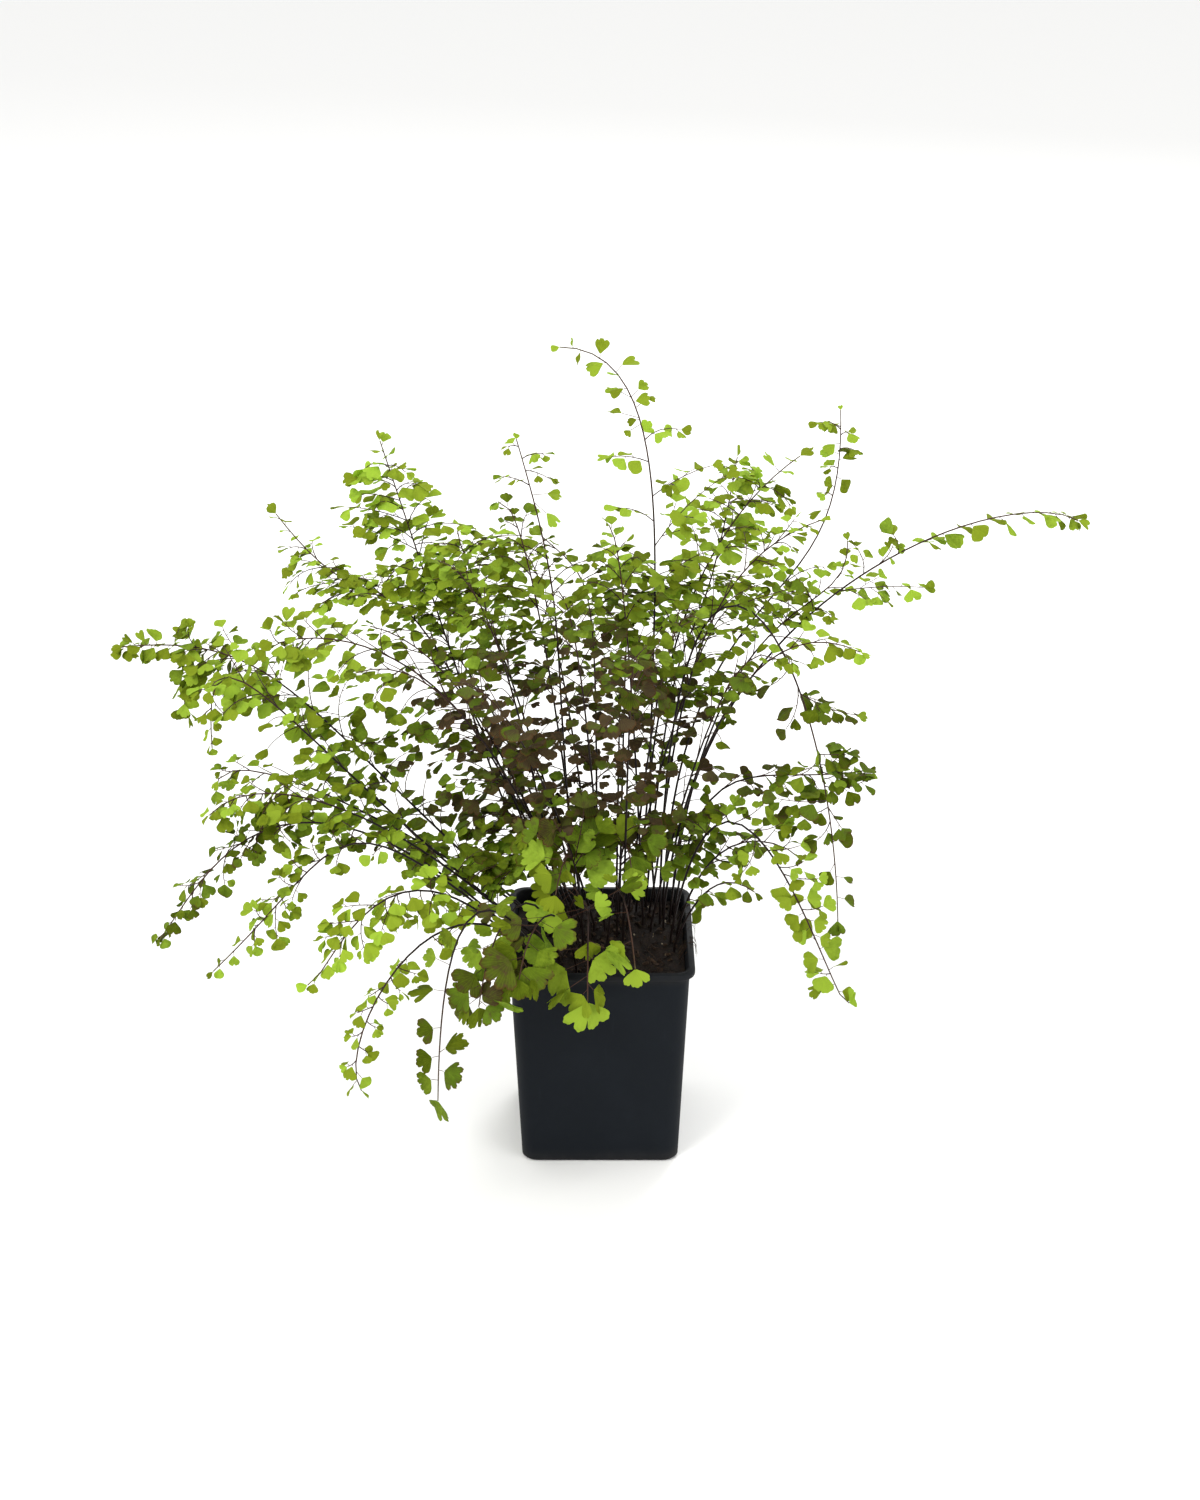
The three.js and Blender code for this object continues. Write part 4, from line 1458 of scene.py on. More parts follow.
        Frond((44, 34), 200, 0, (0.8, 405), (267, 20, 381), start=0.78, size=1.2, gap=2.0, lone=90,
            shade=0.12, level=0.3, sprigs=sprigs(
            (0.745, 12, 5, 3, 0.95), (0.725, -4, 12, 3, 0.9), (0.69, 8, 12, 4), (0.665, -6, 17, 4),
            (0.62, 48, 2, 8, 0.75), (0.57, -12, 22, 5), (0.52, -22, 18, 5, 0.75), (0.46, 24, -2, 4, 0.75),
            size=0.65,
        )),
        Frond((42, 22), 230, 0.2, (1.05, 305), (141, 40, 362), start=0.5, size=0.85, longest=34, lone=16,
            level=1.4, sprigs=sprigs(
            (0.84, -18, 4, 4), (0.8, -16, 8, 4), (0.77, -22, 12, 5), (0.74, -18, 16, 5), (0.8, 8, 4, 3),
            (0.76, 12, 8, 4),
        )),
        Frond((38, 12), 45, 0, (0.3, 350), (143, -30, 322), start=0.62, longest=24, lone=14, gap=3.4,
            level=1.1, sprigs=sprigs(
            (0.2, 10, 12, 4), (0.25, 12, 8, 4), (0.16, 8, 14, 4), (0.22, 18, 2, 5), (0.18, 20, 6, 5),
            (0.14, 18, 8, 5),
        )),
        Frond((36, 19), 330, 0, (0.9, 345), (137, -34, 155), shade=0.32, size=0.95, gloom=0.85,
            seeded=False, sprigs=sprigs(
            (0.36, -14, 14, 4), (0.42, 24, 18, 5), (0.46, -20, 16, 5), (0.49, 24, 16, 5),
            (0.52, 30, 10, 6), (0.63, -10, -12, 3, 1.2), (0.66, -6, -26, 4, 1.3), (0.67, 32, -13, 7, 1.1),
            (0.7, -4, -3, 1, 1.2), (0.74, 2, -3, 1, 1.3), (0.76, -16, -12, 4, 1.1),
            (0.78, 24, -2, 5, 1.1), (0.8, 22, 3, 5, 1.1), (0.77, 10, 5, 3, 1.2), (0.755, 16, 0, 4, 1.2),
            (0.79, 12, 7, 3, 1.2), (0.82, -28, 1, 6, 1.1), (0.83, 8, -13, 2), (0.83, -22, -6, 4),
            (0.85, -7, -12, 2), (0.88, 3, 1, 1, 1.3), (0.91, -3, -6), (0.93, 4, -1, 1, 1.1),
            (0.96, 4, -2, 1, 1.2), (0.99, -1, -2, 1, 1.1),
        )),
        Frond((44, 12), 130, 0.1, (0.45, 225), (152, -20, 246), shade=0.3, start=0.3, longest=32,
            gloom=0.85, droop=0.3),
        Frond((42, 0), 210, 0.3, (0.95, 95), (143, -60, 117), 0.0, broad, size=0.82, gloom=0.92,
            shade=0.02, level=-0.3, seeded=False, sprigs=sprigs(
            (0.3, 6, 14, 3), (0.34, -12, 10, 4), (0.38, 10, 12, 4), (0.42, -8, 8, 3), (0.44, 16, 12, 4),
            (0.48, 18, 4, 4), (0.5, -8, -26, 4, 0.8), (0.53, 3, -2), (0.55, 18, 3, 3, 0.9),
            (0.57, -3, -3), (0.6, 14, 4, 2), (0.62, 20, -3, 3), (0.64, -2, -3), (0.66, 1, -3),
            (0.68, -3, 0, 1, 1.1), (0.7, 5, 1, 1, 1.2), (0.72, 12, 2, 2), (0.73, -3, -1, 1, 1.1),
            (0.75, 4, 0, 1, 1.2), (0.77, -2, -2, 1, 1.1), (0.79, 4, -1), (0.81, -3, 1, 1, 1.2),
            (0.83, 2, 1, 1, 1.2), (0.86, -3, -1), (0.89, 3, 1), (0.9, -6, 0, 2, 1.1),
            (0.93, -5, -1, 1, 1.2), (0.95, 2, 0, 1, 0.8),
        )),
        Frond((46, 5), 100, 0.3, (1.05, 190), (115, -20, 190), shade=0.3, start=0.12, longest=30, gap=4.0,
            sprigs=sprigs(
            (0.6, 14, 8, 4), (0.7, 10, 10, 4), (0.8, 6, 8, 4), (0.45, 16, 4, 4), (0.9, 4, 6, 3),
        )),
        Frond((44, -9), 55, 0.35, (0.75, 180), (89, -30, 173), shade=0.25, start=0.3, longest=18, size=1.1),
        Frond((-6, -24), 65, 0.2, (0.8, 185), (-7, -76, 127), 0.0, lobed, shade=0.15, level=-0.4,
            seeded=False, sprigs=sprigs(
            (0.4, -17, 13, 1, 0.75), (0.42, -19, 9, 1, 0.75), (0.44, -21, 2), (0.45, 19, 11, 1, 0.9),
            (0.5, 3, 2), (0.5, -15, -6, 1, 0.75), (0.52, -3, 2, 1, 0.65), (0.66, 1, -3),
            (0.68, 10, -4, 1, 1.15), (0.72, -21, -1, 1, 1), (0.76, 3, -2, 1, 1), (0.78, -15, -5, 1, 1.2),
            (0.86, -12, -8, 1, 0.9), (0.93, -3, -3, 1, 1.2), (0.9, 4, -5), size=0.8,
        )),
        Frond((-24, -26), 70, 0.2, (0.8, 195), (-68, -88, 131), 0.0, lobed, shade=0.36, level=-0.4,
            seeded=False, sprigs=sprigs(
            (0.58, -9, 2, 1, 0.8), (0.66, 2, -3, 1, 0.9), (0.72, -8, -3, 1, 0.8), (0.76, 1, -3, 1, 1.15),
            (0.8, 10, -2), (0.82, -7, -3), (0.86, 6, -5, 1, 1.15), (0.9, -8, -2), (0.94, 6, -4),
            (0.95, -6, -5), (0.93, -10, -6), (0.97, 3, -4, 1, 0.9), (0.99, 2, 2, 1, 0.8),
        )),
        Frond((4, -16), 65, 0.2, (0.65, 195), (20, -66, 143), 0.0, lobed, size=0.7, level=-0.4,
            seeded=False, sprigs=sprigs(
            (0.4, -8, 4), (0.48, 5, 5), (0.56, -6, 4), (0.7, -7, 1), (0.85, -5, -2),
        )),
        Frond((-14, -32), 60, 0.2, (0.8, 190), (-45, -90, 150), 0.0, lobed, shade=0.4, level=-0.4,
            seeded=False, sprigs=sprigs(
            (0.62, -12, 4, 1, 0.9), (0.66, 8, -4, 1, 0.8), (0.7, -14, 2, 1, 0.9), (0.72, 5, -3, 1, 0.9),
            (0.76, -3, -2), (0.8, 7, -3), (0.8, -8, -2, 1, 0.8), (0.88, -7, -3), (0.9, 3, -3),
            (0.96, 5, -5),
        )),
        Frond((-10, -10), 75, 0.2, (0.6, 215), (-25, -60, 187), 0.0, broad, dress=lobed, size=0.9,
            shade=-0.12, level=-0.3, seeded=False, sprigs=sprigs(
            (0.55, 6, 0, 1, 1.1), (0.58, 8, 10, 1, 1.15), (0.6, 1, 6, 1, 1.2), (0.62, -30, 12, 1, 0.9),
            (0.62, -4, 11, 1, 1.1), (0.65, -9, 9, 1, 1.1), (0.68, -20, 5, 1, 1), (0.75, -24, -3, 1, 1),
            (0.8, -11, -2, 1, 1), (0.8, 3, -4, 1, 1), (0.42, -17, 2, 1, 0.9, -0.3),
            (0.42, -19, 13, 1, 0.8, -0.3), (0.4, -20, -12, 1, 0.9, -0.3), (0.4, -10, -10, 1, 0.9, -0.1),
            (0.38, -13, -22, 1, 0.8, -0.1), (0.6, 6, 34, 3, 0.75, 0.1), (0.64, -16, 34, 3, 0.75, 0.1),
            (0.62, -28, 20, 3, 0.75, 0.1), (0.58, -12, 22, 2, 0.8, 0.1), (0.56, 14, 22, 2, 0.8, 0.1),
            (0.88, -5, -3), (0.5, -22, 16, 3, 0.6), (0.45, 16, 16, 3, 0.6), size=0.8,
        )),
        Frond((10, 2), 65, 0.2, (0.55, 210), (18, -30, 189), 0.0, lobed, shade=-0.02, size=0.9,
            gloom=0.92, level=-0.3, seeded=False, sprigs=sprigs(
            (0.5, -7, 1, 1, 1.1), (0.6, -5, 5, 1, 1.2), (0.62, -16, 3, 1, 1.1), (0.65, 2, 9, 1, 1.1),
            (0.7, 10, 4, 1, 1), (0.75, 14, 0), (0.5, -22, 10, 1, 0.9, 0.1), (0.46, -14, 12, 1, 0.9, 0.1),
            (0.56, -26, 4, 1, 1.0, 0.2), (0.6, 8, 34, 3, 0.75, 0.1), (0.6, 24, 22, 3, 0.75, 0.1),
            (0.58, -14, 28, 3, 0.75, 0.1), (0.54, 30, 10, 2, 0.8, 0.1), (0.85, 5, -4),
            (0.55, 26, 14, 4, 0.65), (0.45, 24, 4, 3, 0.65), size=0.9,
        )),
    ]


@dataclass
class Planting:
    """Where each frond of the plant grows, by the same rules as the CAD solids."""

    soil: Soil
    clearance: float = 3.2
    root_spacing: float = 4.4
    samples: int = 12
    swing_step: float = 3.0
    most_swing: float = 45.0
    swing_lift: float = -0.46
    inner_count: int = 15
    inner_seed: int = 11
    golden_angle: float = 2.39996
    crown: Pair = (4.0, 14.0)
    crown_reach: Pair = (30.0, 19.0)
    dome_centre: Pair = (-22.0, 0.0)
    dome_reach: Pair = (158.0, 155.0)
    dome_top: float = 385.0
    dome_fall: float = 115.0
    inner_lean: float = 0.3

    def fronds(self) -> list[Frond]:
        """Plant every frond clear of the stems already there.

        Returns:
            The fronds in the order of their CAD nodes.
        """
        planted: list[Frond] = []
        for frond in outer_fronds():
            planted.append(self._bent_clear(frond, planted))
        random = SeededRandom(self.inner_seed)
        for order in range(self.inner_count):
            frond = self._inner(order, random)
            while not self._is_clear(frond, planted):
                frond = self._inner(order, random)
            planted.append(frond)
        return planted

    def _bent_clear(self, frond: Frond, others: list[Frond]) -> Frond:
        """Swing a frond's tip forwards and back until its stem is clear of the others.

        Args:
            frond: The frond, which is changed.
            others: The fronds already planted.

        Returns:
            The frond, planted.
        """
        x, y, z = frond.tip
        out, bend_z = frond.bend
        swing = 0.0
        while swing <= self.most_swing:
            for shift in (swing, -swing):
                lift = shift * self.swing_lift
                frond.tip = (x, y + shift, z + lift)
                frond.bend = (out, bend_z + lift * out)
                if self._is_clear(frond.plant(self.soil), others):
                    return frond
            swing += self.swing_step
        raise ValueError(f"no room for the frond rooted at {frond.root}")

    def _is_clear(self, frond: Frond, others: list[Frond]) -> bool:
        """Tell whether a frond's root and stem keep their distance from the others.

        Args:
            frond: The frond, planted.
            others: The other fronds, planted.

        Returns:
            Whether they do.
        """
        for other in others:
            apart = math.hypot(frond.root[0] - other.root[0], frond.root[1] - other.root[1])
            if apart <= self.root_spacing or self._gap(frond.route, other.route) <= self.clearance:
                return False
        return True

    def _gap(self, route: Array, other: Array) -> float:
        """Give the least distance between two stem routes.

        Args:
            route: The first route, which is sampled closely.
            other: The second route.

        Returns:
            The distance.
        """
        shares = np.arange(self.samples)[None, :, None] / self.samples
        samples = route[:-1, None] + (route[1:] - route[:-1])[:, None] * shares
        samples = samples.reshape(-1, 1, 3)
        starts, spans = other[None, :-1], (other[1:] - other[:-1])[None]
        along = ((samples - starts) * spans).sum(-1) / (spans * spans).sum(-1)
        nearest = starts + spans * np.clip(along, 0, 1)[..., None]
        return float(np.linalg.norm(samples - nearest, axis=-1).min())

    def _inner(self, order: int, random: SeededRandom) -> Frond:
        """Draw one frond of the inner dome.

        Args:
            order: Its place in the golden-angle round, from 0.
            random: The draw that all inner fronds share.

        Returns:
            The frond, planted.
        """
        heading = order * self.golden_angle + random.between(-0.25, 0.25)
        out = math.sqrt((order + 0.5) / self.inner_count) * random.between(0.8, 1.05)
        root_out = random.between(0.3, 1.0)
        height = self.dome_top - self.dome_fall * out * out + random.between(-20, 20)
        cos, sin = math.cos(heading), math.sin(heading)
        root = (
            self.crown[0] + cos * self.crown_reach[0] * root_out,
            self.crown[1] + sin * self.crown_reach[1] * root_out,
        )
        tip = (
            self.dome_centre[0] + cos * self.dome_reach[0] * out,
            self.dome_centre[1] + sin * self.dome_reach[1] * out,
            height,
        )
        rise = (height - self.soil.level) * random.between(0.45, 0.6)
        bend = (random.between(0.55, 0.75), height + random.between(-10, 20))
        twist = random.between(-0.7, 0.7)
        frond = Frond(
            root, rise, self.inner_lean, bend, tip, twist, inner=True, shade=0.1, start=0.2,
            longest=44.0, size=0.92, droop=0.05, level=1.2, lone=10.0, gap=3.0, widest=16.0,
        )
        return frond.plant(self.soil)


# ---- leaflets and fronds


@dataclass(frozen=True)
class LeafletShape:
    """A leaflet's outline as a fan of spokes from its foot, at size one.

    It spreads to a low and a high angle. Its edge has lobes cut to a depth, teeth on each lobe
    cut to a frill, and rounded-off sides. Rings carry it out from its foot, and a wave lifts it.
    """

    spread_low: float
    spread_high: float
    lobes: int
    depth: float
    teeth: int
    frill: float
    round_off: float
    spokes: int
    rings: int
    wave: float
    seed: int
    FOOT_SHARE = 0.05
    HALF_THICKNESS = 0.011
    RISE = 0.03

    def draft(self) -> tuple[Array, Faces, Array]:
        """Work out the leaflet as a thin closed lens that is sharp at its rim.

        Returns:
            Its points (along, across, up), its faces, and each point's place (share out, angle, 0).
        """
        random = SeededRandom(self.seed)
        angles = np.linspace(-self.spread_low, self.spread_high, self.spokes)
        reach = self._reach(angles, random)
        tops, places = [], []
        for ring in range(self.rings + 1):
            share = self.FOOT_SHARE + (1 - self.FOOT_SHARE) * (ring / self.rings) ** 0.8
            radius = reach * share
            lift = self.wave * share**2 * np.sin(angles * 5.3 + self.seed) + self.RISE * share
            tops.append(np.stack([radius * np.cos(angles), radius * np.sin(angles), lift], axis=1))
            places.append(np.stack([np.full(self.spokes, share), angles, angles * 0], axis=1))
        upper = np.concatenate(tops)
        inside = np.zeros((self.rings + 1, self.spokes), bool)
        inside[1:-1, 1:-1] = True
        inside = inside.ravel()
        thick = np.zeros(upper.shape)
        thick[inside, 2] = self.HALF_THICKNESS
        top, under = upper + thick, (upper - thick)[inside]
        lower_index = np.arange(len(upper))
        lower_index[inside] = len(upper) + np.arange(inside.sum())
        faces: Faces = []
        for ring in range(self.rings):
            for spoke in range(self.spokes - 1):
                a = ring * self.spokes + spoke
                quad = (a, a + self.spokes, a + self.spokes + 1, a + 1)
                faces.append(quad)
                faces.append(tuple(int(lower_index[i]) for i in reversed(quad)))
        place = np.concatenate(places)
        return np.concatenate([top, under]), faces, np.concatenate([place, place[inside]])

    def _reach(self, angles: Array, random: SeededRandom) -> Array:
        """Give how far the edge lies out along each spoke, with its lobes and fine teeth.

        Args:
            angles: The angle of each spoke.
            random: The leaflet's draw.

        Returns:
            The distance from the foot along each spoke.
        """
        whole = self.spread_high + self.spread_low
        share = (angles + self.spread_low) / whole
        share = share + 0.05 * np.sin(2 * math.pi * share) * random.between(-1, 1)
        side = np.abs(2 * share - 1)
        depth = self.depth * random.between(0.7, 1.25)
        lobes = np.abs(np.sin(math.pi * self.lobes * share)) ** 0.42
        cut = depth * (1 - lobes) * (0.75 + 0.25 * np.sin(angles * 3 + self.seed))
        teeth = np.abs(np.sin(math.pi * self.lobes * self.teeth * share)) ** 0.7
        return (1.0 - self.round_off * side**4) * (1 - cut - self.frill * (1 - teeth))


class LeafletBook:
    """The drafted leaflets of each form, made once and placed many times.

    The cuts of each form are its least lobes, their depth, its teeth, their frill, how far its
    sides round off, its spokes and rings, its wave and its first seed.
    """

    COUNT = 9
    FIRST_SEED = 500
    LOWS, HIGHS, LOBED_EXTRA = (0.6, 0.92), (0.75, 1.1), (0.14, 0.3)
    CUPS, DROOPS = (-0.18, 0.34), (0.0, 0.28)
    CUTS = {
        LeafForm.FAN: (1, 0.22, 2, 0.04, 0.16, 17, 2, 0.09, 3),
        LeafForm.BROAD: (2, 0.28, 3, 0.05, 0.12, 29, 3, 0.08, 17),
        LeafForm.LOBED: (3, 0.36, 3, 0.06, 0.16, 49, 4, 0.07, 31),
    }

    def __init__(self) -> None:
        """Draft a few leaflets of each form."""
        self.shapes: dict[LeafForm, list[tuple[Array, Faces, Array]]] = {}
        for form in LeafForm:
            self.shapes[form] = [self._shape(form, index).draft() for index in range(self.COUNT)]

    def _shape(self, form: LeafForm, index: int) -> LeafletShape:
        """Choose the outline of one leaflet.

        Args:
            form: Its form.
            index: Its number among those of its form.

        Returns:
            The outline.
        """
        random = SeededRandom(self.FIRST_SEED + index + 50 * len(form.label))
        low, high = random.between(*self.LOWS), random.between(*self.HIGHS)
        wide = {LeafForm.FAN: 0.0, LeafForm.BROAD: 0.1}.get(form)
        if wide is None:
            wide = random.between(*self.LOBED_EXTRA)
        lobes, depth, teeth, frill, round_off, spokes, rings, wave, seed = self.CUTS[form]
        return LeafletShape(
            low + wide, high + wide, lobes + index % 3, depth, teeth, frill, round_off,
            spokes, rings, wave, seed + index,
        )

    def place(
        self,
        draft: MeshDraft,
        form: LeafForm,
        foot: Array,
        along: Array,
        facing: Array,
        size: float,
        look: LeafLook,
        random: SeededRandom,
    ) -> None:
        """Put one leaflet into a draft.

        Args:
            draft: The draft of its frond.
            form: Its form.
            foot: Where its foot is.
            along: The direction that it points in.
            facing: The direction that its upper face should turn to.
            size: Its length from foot to edge.
            look: Its colour's age and shade.
            random: The frond's draw.
        """
        points, faces, place = self.shapes[form][int(random() * self.COUNT) % self.COUNT]
        normal = unit(facing - (facing @ along) * along)
        across = np.cross(normal, along)
        flip = 1.0 if random() < 0.5 else -1.0
        cup, droop = random.between(*self.CUPS), random.between(*self.DROOPS)
        p, q, h = points[:, 0], points[:, 1] * flip, points[:, 2]
        lift = h - cup * q * q - droop * p * p
        spots = foot + size * (np.outer(p, along) + np.outer(q, across) + np.outer(lift, normal))
        ordered = faces if flip > 0 else [tuple(reversed(face)) for face in faces]
        draft.add(spots, ordered, 1, look.age, look.tone, place, look.gloom)


BOOK = LeafletBook()


@dataclass
class FrondBuilder:
    """Grows one frond: stem, side ribs, hair stalks and leaflets, in millimetres.

    Tissue is old near old_centre and young past old_reach from it. Old_fall carries a place that
    lies further back up to where the photograph's view sees it.
    """

    frond: Frond
    seed: int
    stem_foot: float = 0.74
    stem_tip: float = 0.34
    stem_sides: int = 7
    stem_step: float = 9.0
    least_steps: int = 14
    rib_radius: float = 0.36
    rib_sides: int = 5
    rib_step: float = 4.0
    stalk_radius: float = 0.22
    foot_depth: float = 9.0
    old_centre: Triple = (-20.0, 0.0, 247.0)
    old_reach: Triple = (106.0, 150.0, 76.0)
    old_fall: float = 0.456
    old_core: float = 0.5
    old_fade: float = 0.85
    youngest: float = 0.1
    ageing: float = 0.59
    light: Triple = (-0.08, -0.32, 0.94)
    rib_per_distance: float = 0.62
    foot_shortening: float = 0.8
    gap_growth: float = 0.12
    shortest_rib: float = 1.3
    twig_reach: float = 34.0
    twig_fork: float = 15.0
    tip_size: float = 0.7
    tip_reach: float = 34.0
    broad_inside: float = 0.2
    broad_outside: float = 0.05
    thinned: float = 0.72
    rib_leans: Pair = (0.62, 1.0)
    leaflet_leans: Pair = (0.7, 1.15)
    lone_stalks: Pair = (1.6, 3.4)
    rib_stalks: Pair = (1.2, 2.8)
    twig_stalks: Pair = (1.2, 2.4)
    twig_shares: Pair = (0.22, 0.36)
    leaflet_sizes: Pair = (0.75, 1.25)
    rib_lengths: Pair = (0.7, 1.15)
    rib_droops: Pair = (0.2, 1.4)
    gaps: Pair = (0.8, 1.2)
    knee: float = 0.42
    knee_bow: float = 0.14
    twig_radii: Triple = (0.26, 0.23, 0.2)
    twig_leans: Pair = (0.75, 1.1)
    stray: float = 0.35
    outward: float = 0.3
    old_from: float = 0.45
    old_spread: float = 0.3
    young_spread: float = 0.16

    CLEARINGS = tuple(
        Clearing(*shaft)
        for shaft in (
            (-76, 278, 25), (55, 322, 30), (100, 306, 22), (14, 244, 14), (52, 255, 22),
            (60, 225, 17), (-27, 350, 14), (103, 192, 16), (-186, 250, 20), (-112, 316, 20),
            (-100, 289, 15), (-112, 223, 12), (57, 413, 13), (103, 271, 14),
        )
    )
    TWIG = ((1, 0.34), (-1, 0.58), (1, 0.8))
    SPACING = {LeafForm.FAN: 4.5, LeafForm.BROAD: 8.5, LeafForm.LOBED: 12.0}
    SIZE = {LeafForm.FAN: 8.5, LeafForm.BROAD: 10.5, LeafForm.LOBED: 15.5}

    def build(self, name: str, node: str, materials: Sequence[Material]) -> Piece:
        """Grow the frond and make its object.

        Args:
            name: The object's name.
            node: The CAD node that it stands in for.
            materials: The stem's material and the leaflets'.

        Returns:
            The frond.
        """
        self.random = SeededRandom(self.seed)
        self.draft = MeshDraft()
        self.form = self.frond.dress or self.frond.leaf
        self.shade = self.frond.shade
        self._stem()
        if self.frond.seeded:
            self._blade()
        for sprig in self.frond.sprigs:
            self.shade = self.frond.shade + sprig.shade
            self._sprig(sprig)
        self.shade = self.frond.shade
        tip = self.frond.at(np.array([1.0]))[0]
        at_tip = self.tip_size if self.form is LeafForm.FAN else 1.0
        self._leaflet(tip, self.frond.heading(1.0), at_tip * self.frond.size)
        piece = self.draft.build(name, materials, 70)
        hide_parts(node)
        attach(piece, "root")
        return piece

    def _age_at(self, point: Array) -> float:
        """Give how old the tissue is: old inside the dome, young at its outside.

        Args:
            point: Where the leaflet's foot is.

        Returns:
            The age; about 0 is young and 1 is old.
        """
        lifted = point + UP * self.old_fall * point[1]
        offset = (lifted - np.array(self.old_centre)) / np.array(self.old_reach)
        depth = float(np.linalg.norm(offset))
        inside = 1.0 - np.clip((depth - self.old_core) / self.old_fade, 0.0, 1.0)
        return float(self.youngest + self.ageing * inside + self.shade)

    def _stem(self) -> None:
        """Draw the stem from its foot in the soil to the frond's tip."""
        frond = self.frond
        count = max(self.least_steps, int(frond.full / self.stem_step))
        shares = np.linspace(0, 1, count)
        route = frond.at(shares)
        foot = np.array([[*frond.root, frond.ground - self.foot_depth]])
        route = np.concatenate([foot, route])
        radii = self.stem_foot + (self.stem_tip - self.stem_foot) * shares**1.5
        radii = np.concatenate([[self.stem_foot], radii])
        ages = np.concatenate([[1.0], 1.0 - 0.8 * shares**1.6])
        self.draft.add_tube(route, radii, self.stem_sides, 0, ages)

    def _blade(self) -> None:
        """Set side ribs along the upper stem, close and short at its tip, wide and long below."""
        frond, random = self.frond, self.random
        reach = frond.full * (1 - frond.start)
        side = 1.0 if random() < 0.5 else -1.0
        crowd = self.SPACING[self.form] / self.SPACING[LeafForm.FAN]
        distance = frond.gap * crowd
        while distance < reach:
            length = min(self.rib_per_distance * (distance - 0.5 * frond.lone), frond.longest)
            length *= random.between(*self.rib_lengths)
            length *= 1 - self.foot_shortening * (distance / reach) ** 1.3
            share = 1 - distance / frond.full
            taper = self.tip_size + (1 - self.tip_size) * min(distance / self.tip_reach, 1.0)
            self._pinna(share, side, length if distance > frond.lone * crowd else 0.0, taper)
            gap = min(frond.gap + self.gap_growth * distance, frond.widest) * crowd
            distance += gap * random.between(*self.gaps)
            side = -side

    def _frame(self, share: float) -> tuple[Array, Array, Array]:
        """Give how the blade lies at one place of the stem.

        Args:
            share: The share of the stem's length.

        Returns:
            The point, the stem's direction and the blade's across direction.
        """
        frond = self.frond
        heading = frond.heading(share)
        lit = np.cross(self.light, heading)
        flat = frond.across * (1.0 if frond.across @ lit > 0 else -1.0)
        across = unit(0.45 * flat + unit(lit))
        return frond.at(np.array([share]))[0], heading, turned(across, heading, 0.35 * frond.twist)

    def _pinna(self, share: float, side: float, length: float, taper: float) -> None:
        """Grow one side rib with its leaflets, or a lone leaflet where it would be short.

        Args:
            share: How far along the stem it leaves.
            side: 1 or -1, the side that it leaves on.
            length: The length of its rib.
            taper: A factor on the size of its leaflets.
        """
        random, frond = self.random, self.frond
        origin, heading, across = self._frame(share)
        across = turned(across, heading, random.between(-0.45, 0.45))
        lean = random.between(*self.rib_leans)
        along = heading * math.cos(lean) + across * side * math.sin(lean)
        along = unit(along - UP * frond.droop * random.between(*self.rib_droops))
        spacing = self.SPACING[self.form]
        if length < self.shortest_rib * spacing:
            self._stalked(origin, along, random.between(*self.lone_stalks), frond.size * taper)
        else:
            count = max(2, int(length / spacing))
            self._rib(origin, along, length, count, frond.size * taper, heading)

    def _sprig(self, sprig: Sprig) -> None:
        """Grow one listed rib, or one leaflet on a stalk.

        Args:
            sprig: What to grow.
        """
        origin = self.frond.at(np.array([sprig.share]))[0]
        reach = np.array([sprig.right, 0.0, sprig.up])
        length = float(np.linalg.norm(reach))
        size = sprig.size * self.frond.size
        if sprig.leaflets == 1:
            stray = self.stray * np.array([self.random.between(-1, 1) for _ in range(3)])
            self._stalked(origin, unit(unit(reach) + stray), length, size)
        else:
            heading = self.frond.heading(sprig.share)
            self._rib(origin, unit(reach), length, sprig.leaflets, size, heading)

    def _rib(
        self,
        origin: Array,
        along: Array,
        length: float,
        leaflets: int,
        size: float,
        heading: Array,
    ) -> None:
        """Grow a rib that bows a little, with leaflets on both sides and one at its end.

        Args:
            origin: Where it leaves the stem.
            along: The direction of its end.
            length: Its length.
            leaflets: How many leaflets stand along it.
            size: A factor on the size of its leaflets.
            heading: The direction of the stem, which the rib leans to at first.
        """
        random = self.random
        bow = unit(np.cross(along, np.array([random.between(-1, 1), random.between(-1, 1), 0.2])))
        end = origin + along * length
        side = random.between(-self.knee_bow, self.knee_bow)
        knee = origin + along * length * self.knee + bow * length * side
        knee = knee + (heading * 0.2 + UP * 0.04) * length
        steps = max(5, int(length / self.rib_step))
        t = np.linspace(0, 1, steps)[:, None]
        route = (1 - t) ** 2 * origin + 2 * t * (1 - t) * knee + t * t * end
        radii = np.linspace(self.rib_radius, self.stalk_radius, steps)
        self.draft.add_tube(route, radii, self.rib_sides, 0, 0.6 - 0.35 * t[:, 0])
        turn = 1.0 if random() < 0.5 else -1.0
        spread = self._facing(origin, 0.3)
        for index in range(leaflets):
            s = (index + 0.8 + random.between(-0.15, 0.15)) / (leaflets + 0.3)
            low = min(int(s * (steps - 1)), steps - 2)
            rib = unit(route[low + 1] - route[low])
            spot = route[low] + (route[low + 1] - route[low]) * (s * (steps - 1) - low)
            out = unit(np.cross(spread, rib)) * turn
            lean = random.between(*self.leaflet_leans)
            way = unit(rib * math.cos(lean) + out * math.sin(lean) - UP * random.between(0.0, 0.25))
            if length > self.twig_reach and index < 3 and self.form is LeafForm.FAN:
                self._twig(spot, way, length * random.between(*self.twig_shares), size)
            else:
                stalk = random.between(*self.rib_stalks)
                self._stalked(spot, way, stalk, size * (1.05 - 0.2 * s))
            turn = -turn
        self._leaflet(end, unit(route[-1] - route[-2]), 0.85 * size)

